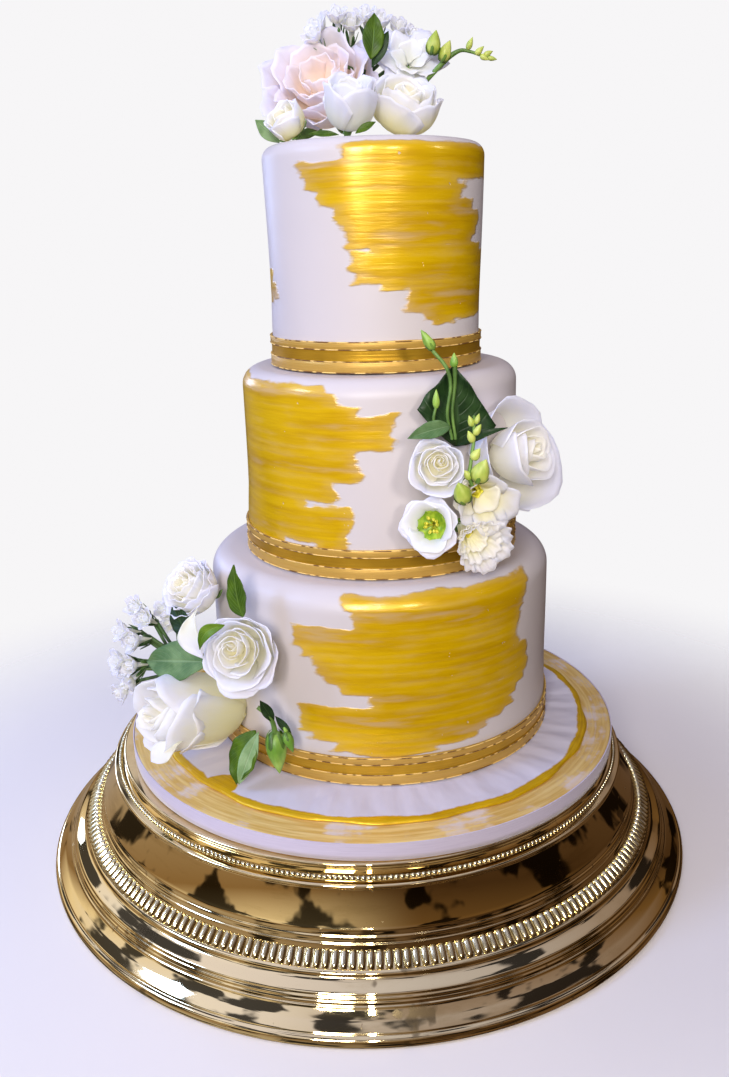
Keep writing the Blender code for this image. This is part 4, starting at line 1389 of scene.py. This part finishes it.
SMALL_LEAVES = {
    "leaf_thin": blade((58, -104, 315), (87, -110, 326), (0.1, -0.8, 0.6), 5.0, 3.0, 0.3, 0.4, leaf_dark),
    "leaf_low_underside": blade((-68, -120.5, 137), (-82, -124.5, 102), (-0.1, -0.9, 0.4), 11.0, 1.5, 0.1,
                                0.5, leaf_under),
    "leaf_top_dark": blade((13, -13, 534), (23.5, -12, 554), (0.2, -0.9, 0.3), 8.0, 1.5, 0.2, 0.5, leaf_dark),
    "leaf_top_low": blade((2, -50, 493), (14, -50, 499), (0.2, -0.9, 0.4), 4.5, 1.0, 0.2, 0.5, leaf_bright),
    "leaf_top_under": blade((-8, -44, 493), (-26, -42, 494), (0.0, -0.9, 0.4), 4.0, 1.0, 0.2, 0.5,
                            leaf_bright),
    "leaf_side_dark": blade((-112, -84, 186), (-126, -70, 204), (-0.4, -0.8, 0.3), 15.0, 2.0, 0.15, 0.5,
                            leaf_dark),
    "leaf_sprig_a": blade((-58, -119, 143), (-66, -119, 158), (0.1, -0.9, 0.3), 7.0, 1.0, 0.2, 0.5,
                          leaf_dark),
    "leaf_sprig_b": blade((-57, -119, 147), (-47, -121, 134), (0.1, -0.9, 0.3), 5.0, 1.0, 0.2, 0.5,
                          leaf_dark),
}
LOOSE_PETALS = {
    "petal_hanging_side": blade((-101.5, -113, 219), (-99, -122, 189), (-0.3, -0.9, 0.2), 15.0, 4.0, 0.3,
                                0.60, petal_white, sway=6.0),
    "petal_hanging_low": blade((-117, -118, 130), (-137, -123, 119), (-0.3, -0.7, 0.6), 15.0, 2.5, 0.2,
                               0.62, petal_white),
}


BLADE_THICKNESS = 0.5


def blade_grid(plan, rows=22, columns=11):
    """The grid of one blade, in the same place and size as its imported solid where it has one."""
    start = np.asarray(plan["base"], float)
    along = np.asarray(plan["tip"], float) - start
    side = np.cross(along, np.asarray(plan["facing"], float))
    side = side / np.linalg.norm(side)
    normal = np.cross(side, along)
    normal = normal / np.linalg.norm(normal)
    share = np.linspace(0.0, 1.0, rows)[:, None, None]
    across = np.linspace(-1.0, 1.0, columns)[None, :, None]
    widest, width = plan["widest"], plan["width"]
    if plan["kite"]:
        outline = np.minimum((share / widest) ** 0.7, ((1.0 - share) / (1.0 - widest)) ** 0.85)
    else:
        outline = np.sin(math.pi * share ** (math.log(0.5) / math.log(widest))) ** 0.9
    half = 0.5 * width * np.maximum(0.03, outline)
    lift = plan["fold"] * half * np.abs(across) ** 1.3 + 0.06 * width * np.sin(9.0 * share) * np.abs(across)
    lift = lift + 0.025 * width * np.sin(22.0 * share + 2.0 * across) * across ** 2
    lengthways = along * (share + plan["skew"] * across * outline / np.linalg.norm(along))
    sideways = half * across + plan["sway"] * np.sin(math.pi * share)
    upwards = plan["bow"] * np.sin(math.pi * share) + lift
    return start + lengthways + side * sideways + normal * upwards


def make_blade(name, plan, nodes, slot_name):
    builder = Builder()
    builder.grid(blade_grid(plan))
    made = builder.finish(name + "_blade", [plan["finish"]], nodes, slot_name, SOFT_EDGE)
    return thicken(made, BLADE_THICKNESS)


for name, plan in LEAVES.items():
    make_blade(name, plan, [name], "leaf_green")
for name, plan in SMALL_LEAVES.items():
    make_blade(name, plan, [], "leaf_green")
for name, plan in LOOSE_PETALS.items():
    make_blade(name, plan, [], "petal_white")
print(len(LEAVES) + len(SMALL_LEAVES), "leaves and", len(LOOSE_PETALS), "loose petals made")

# %% [markdown]
# ## Buds and stems
# Closed buds are slim drops whose petals are still twisted together, so a drop with spiral furrows will do.
# Stems are tubes along smooth paths. A freesia's stem ends in a row of small buds that shrink to the tip.

# %% Buds
BUDS = {
    "bud_freesia_top_a": ((51.5, -10, 547.5), (0.2, -0.2, 1.0), 4.6, 7.0, bud_yellow),
    "bud_freesia_top_b": ((59, -8, 543), (0.4, -0.2, 0.9), 4.0, 6.5, bud_yellow),
    "bud_freesia_middle_a": ((71, -118, 302.5), (0.3, -0.3, 0.9), 5.6, 8.0, bud_yellow),
    "bud_freesia_middle_b": ((59, -125, 291.5), (-0.3, -0.4, 0.8), 5.4, 8.0, bud_yellow),
    "bud_lisianthus_tip": ((40.5, -104, 377), (-0.55, -0.1, 0.9), 3.0, 7.0, bud_green),
    "bud_bottom_large": ((-57, -120, 122), (0.08, -0.15, -1.0), 6.8, 14.5, bud_green),
    "bud_bottom_small": ((-48.5, -124, 131), (0.35, -0.2, -1.0), 3.4, 7.0, bud_green),
}


BUD_SEED = 9


def add_bud(builder, centre, facing, radius, half_length, slot=0, sides=20, rows=14):
    """A closed drop with five spiral furrows."""
    t = np.linspace(0.0, 1.0, rows)[:, None]
    angle = np.linspace(0.0, 2.0 * math.pi, sides, endpoint=False)[None, :]
    swell = np.sin(math.pi * t ** 0.75) ** 0.8 * (1.0 - 0.25 * t)
    swell = np.maximum(swell / 0.9, 0.04)
    furrow = 1.0 - 0.14 * np.abs(np.sin(2.5 * angle + 2.2 * t)) ** 6 * np.sin(math.pi * t)
    out = swell * furrow
    points = np.stack(np.broadcast_arrays(out * np.cos(angle), out * np.sin(angle), 2.0 * t - 1.0), -1)
    start = builder.grid(set_in_place(points, centre, facing, radius, half_length), slot=slot, around=True)
    builder.close_ends(start, rows, sides, slot)


def make_bud(name, centre, facing, radius, half_length, finish):
    builder = Builder()
    add_bud(builder, centre, facing, radius, half_length)
    rng = np.random.default_rng(BUD_SEED)
    view = ((0.20, -1.05), (0.9, -0.95), (1.08, -0.6), (1.04, -0.2))
    for i in range(5):
        grid = petal(view, 72.0 * i, 24.0, rng, rows=6, columns=5, round_off=0.75)
        builder.grid(set_in_place(grid, centre, facing, radius, half_length), slot=1)
    return builder.finish(name + "_closed", [finish, sepal_green], [name], "bud_green", SOFT_EDGE)


for name, plan in BUDS.items():
    make_bud(name, *plan)
print(len(BUDS), "buds made")

# %% Stems and sprigs
STEMS = {
    "sprig_freesia_top": ((46, 2, 526, 1.3), (51, -2, 531, 1.5), (56.5, -5, 536, 1.6),
                          (62, -6, 540.5, 1.6), (68.5, -6, 543.5, 1.2), (75, -6, 542.5, 1.0),
                          (81, -6, 540.5, 0.9), (87, -6, 539.5, 0.8)),
    "sprig_freesia_middle": ((66, -116, 293, 1.2), (64, -116, 299, 1.2), (65, -115, 306, 1.1),
                             (66, -114, 313, 1.1), (67, -113, 320, 1.0), (67, -112, 328, 0.9),
                             (67, -112, 334, 0.7)),
    "stem_lisianthus_a": ((55, -106, 319, 0.9), (52, -106, 334, 1.0), (54, -105, 350, 1.1),
                          (51.5, -105, 361, 1.2), (43.5, -104, 371, 1.1)),
    "stem_lisianthus_b": ((57, -106, 319, 0.9), (55, -105, 335, 1.0), (56.5, -104, 350, 1.1),
                          (56.5, -104, 363, 1.5), (56, -104, 366, 1.0)),
    "sprig_bottom": ((-68, -118, 153, 1.4), (-63, -119, 149, 1.5), (-59, -119, 143, 1.6),
                     (-57.5, -119.5, 134, 1.9)),
}
# Small buds on the sprigs: place, direction, radius and half length
SPRIG_BUDS = {
    "sprig_freesia_top": (((74, -7, 547), (0.4, -0.1, 0.9), 2.0, 4.0),
                          ((80, -7, 543), (0.7, -0.1, 0.6), 2.0, 3.6),
                          ((83, -7, 539), (0.8, -0.2, -0.5), 1.8, 3.2),
                          ((85.5, -6, 541.5), (1.0, 0.0, 0.4), 1.8, 3.2),
                          ((88, -6, 538.5), (1.0, 0.0, -0.2), 1.5, 3.2)),
    "sprig_freesia_middle": (((63, -117, 300), (-0.5, -0.2, 0.8), 2.4, 3.8),
                             ((68, -116, 312), (0.5, -0.2, 0.8), 3.0, 4.4),
                             ((65, -114, 322), (-0.4, -0.2, 0.9), 2.4, 4.2),
                             ((69, -114, 326), (0.5, -0.2, 0.9), 2.2, 4.0),
                             ((65, -113, 331), (-0.3, -0.1, 0.9), 2.0, 3.6),
                             ((69, -112, 332), (0.3, 0.0, 0.9), 1.8, 3.4)),
    "stem_lisianthus_a": (((45.5, -106, 343), (0.0, -0.1, 1.0), 2.2, 6.0),),
    "stem_lisianthus_b": (((56, -104, 365), (0.0, 0.0, 1.0), 2.5, 4.5),),
    "sprig_bottom": (((-50, -121, 136), (0.4, 0.0, -0.9), 1.6, 5.0),),
}
SIDE_STEM = ((46, -107, 321, 0.8), (44, -107, 331, 0.9), (45.2, -106.5, 338, 0.9))

for name, knots in STEMS.items():
    builder = Builder()
    add_tube(builder, knots)
    if name == "stem_lisianthus_a":
        add_tube(builder, SIDE_STEM)
    for centre, facing, radius, half_length in SPRIG_BUDS[name]:
        add_bud(builder, centre, facing, radius, half_length, slot=1, sides=12, rows=10)
    kind = bud_yellow if "freesia" in name else bud_green
    builder.finish(name + "_grown", [stem_green, kind], [name], "bud_green", SOFT_EDGE)
print(len(STEMS), "stems made")

# %% [markdown]
# ## The studio
# A plain pale floor and soft lamps are enough, but a mirror shows whatever stands round it.
# So the world has dark and light patches for reflections and fill light, and a pale backdrop for the camera.
# A blue lamp at the left and two paler ones in front leave the cake's right side in a warm shade.
# A weak lamp behind draws the left edges, and two spots lift the upper right.

# %% Floor, lamps and world
FLOOR_RADIUS = 0.62
FLOOR_FADE = 0.27
SPOT_SIZE = 0.12


def make_floor():
    """A round pale floor whose rim fades into the backdrop, so that no edge shows."""
    sides = 64
    angles = [2.0 * math.pi * k / sides for k in range(sides)]
    mesh = bpy.data.meshes.new("floor")
    mesh.from_pydata([(FLOOR_RADIUS * math.cos(a), FLOOR_RADIUS * math.sin(a), 0.0) for a in angles], [],
                     [tuple(range(sides))])
    finish = Finish("pale floor", base_color=(0.82, 0.78, 0.74), roughness=0.55)
    x, y, _ = finish.parts(finish.place())
    distance = (x * x + y * y) ** 0.5
    finish.drive("Alpha", 1.0 - distance.step(FLOOR_FADE, FLOOR_RADIUS * 0.98))
    mesh.materials.append(finish.material)
    made = add_object("floor", mesh)
    made.visible_diffuse = False
    made.visible_glossy = False


def aim_lamp(name, data, place, aim, power, colour):
    """Puts a lamp in its place and turns it towards a point, both in metres."""
    data.energy = power
    data.color = colour
    made = add_object(name, data)
    made.location = place
    made.rotation_mode = "QUATERNION"
    made.rotation_quaternion = (Vector(aim) - Vector(place)).to_track_quat("-Z", "Y")


def make_lamp(name, place, aim, size, power, colour):
    data = bpy.data.lights.new(name, "AREA")
    data.shape = "RECTANGLE"
    data.size, data.size_y = size
    aim_lamp(name, data, place, aim, power, colour)


def make_spot(name, place, aim, angle, power, colour):
    """A soft-edged spot lamp, which lights only what it is aimed at."""
    data = bpy.data.lights.new(name, "SPOT")
    data.spot_size = math.radians(angle)
    data.spot_blend = 1.0
    data.shadow_soft_size = SPOT_SIZE
    aim_lamp(name, data, place, aim, power, colour)


BACKDROP = (0.93, 0.92, 0.93)
# What reflections show: height of the direction and its colour, on the dim side and on the lamp side
DIM_SIDE = ((0.0, (0.10, 0.060, 0.036)), (0.50, (0.035, 0.018, 0.008)), (0.62, (0.09, 0.050, 0.020)),
            (0.85, (0.20, 0.17, 0.20)), (1.0, (0.34, 0.35, 0.52)))
LAMP_SIDE = ((0.0, (0.38, 0.35, 0.32)), (0.50, (0.16, 0.10, 0.05)), (0.60, (0.54, 0.47, 0.38)),
             (0.80, (0.56, 0.57, 0.76)), (1.0, (0.56, 0.57, 0.84)))
PATCH_SHADE = 0.12
PATCH_LIGHT = 1.75


def make_world():
    """A pale backdrop for the camera, and for all other light patches that are brighter at the left."""
    world = bpy.data.worlds.new("studio")
    world.use_nodes = True
    tree = world.node_tree
    add = node_adder(tree)

    def colours(stops, height):
        ramp = add("ShaderNodeValToRGB", None, {0: height})
        while len(ramp.color_ramp.elements) < len(stops):
            ramp.color_ramp.elements.new(1.0)
        for element, (place, colour) in zip(ramp.color_ramp.elements, stops):
            element.position = place
            element.color = (*colour, 1.0)
        return ramp.outputs[0]

    smooth = {"interpolation_type": "SMOOTHSTEP"}
    looking = add("ShaderNodeTexCoord").outputs["Generated"]
    direction = add("ShaderNodeSeparateXYZ", None, {0: looking})
    height = add("ShaderNodeMapRange", None, {0: direction.outputs[2], 1: -1.0, 2: 1.0}).outputs[0]
    side = add("ShaderNodeMapRange", smooth, {0: direction.outputs[0], 1: 0.35, 2: -0.75})
    sides = add("ShaderNodeMix", {"data_type": "RGBA"},
                {0: side.outputs[0], 6: colours(DIM_SIDE, height), 7: colours(LAMP_SIDE, height)})
    noise = {"Vector": looking, "Scale": 3.6, "Detail": 3.0, "Roughness": 0.5}
    shapes = add("ShaderNodeTexNoise", None, noise)
    patches = {0: shapes.outputs[0], 1: 0.435, 2: 0.490, 3: PATCH_SHADE, 4: PATCH_LIGHT}
    uneven = add("ShaderNodeMapRange", smooth, patches)
    filled = add("ShaderNodeMix", {"data_type": "RGBA", "blend_type": "MULTIPLY"},
                 {0: 1.0, 6: sides.outputs[2], 7: uneven.outputs[0]})
    rays = add("ShaderNodeLightPath")
    seen = add("ShaderNodeMix", {"data_type": "RGBA"},
               {0: rays.outputs["Is Camera Ray"], 6: filled.outputs[2], 7: (*BACKDROP, 1.0)})
    tree.links.new(seen.outputs[2], tree.nodes["Background"].inputs[0])
    bpy.context.scene.world = world


make_floor()
make_world()
make_lamp("side lamp", (-1.45, -0.50, 1.15), (0.0, 0.0, 0.28), (0.45, 0.45), 15.0, (0.33, 0.50, 1.0))
make_lamp("front lamp", (-0.38, -1.80, 0.96), (0.0, 0.0, 0.27), (0.35, 0.60), 22.0, (1.0, 0.94, 0.91))
make_lamp("strip lamp", (-0.02, -2.2, 1.2), (0.0, 0.0, 0.3), (0.06, 1.0), 11.0, (1.0, 0.95, 0.88))
make_lamp("rear lamp", (-1.30, 1.25, 0.60), (0.0, 0.0, 0.28), (0.50, 0.50), 6.0, (0.45, 0.58, 1.0))
make_spot("right lamp", (0.45, -1.35, 0.80), (0.05, 0.0, 0.36), 24.0, 27.0, (1.0, 0.92, 0.84))
make_spot("cool lamp", (1.30, -0.45, 0.95), (0.08, 0.0, 0.44), 15.0, 11.0, (0.70, 0.80, 1.0))
bpy.context.scene.view_settings.view_transform = "Standard"
print("Studio ready")
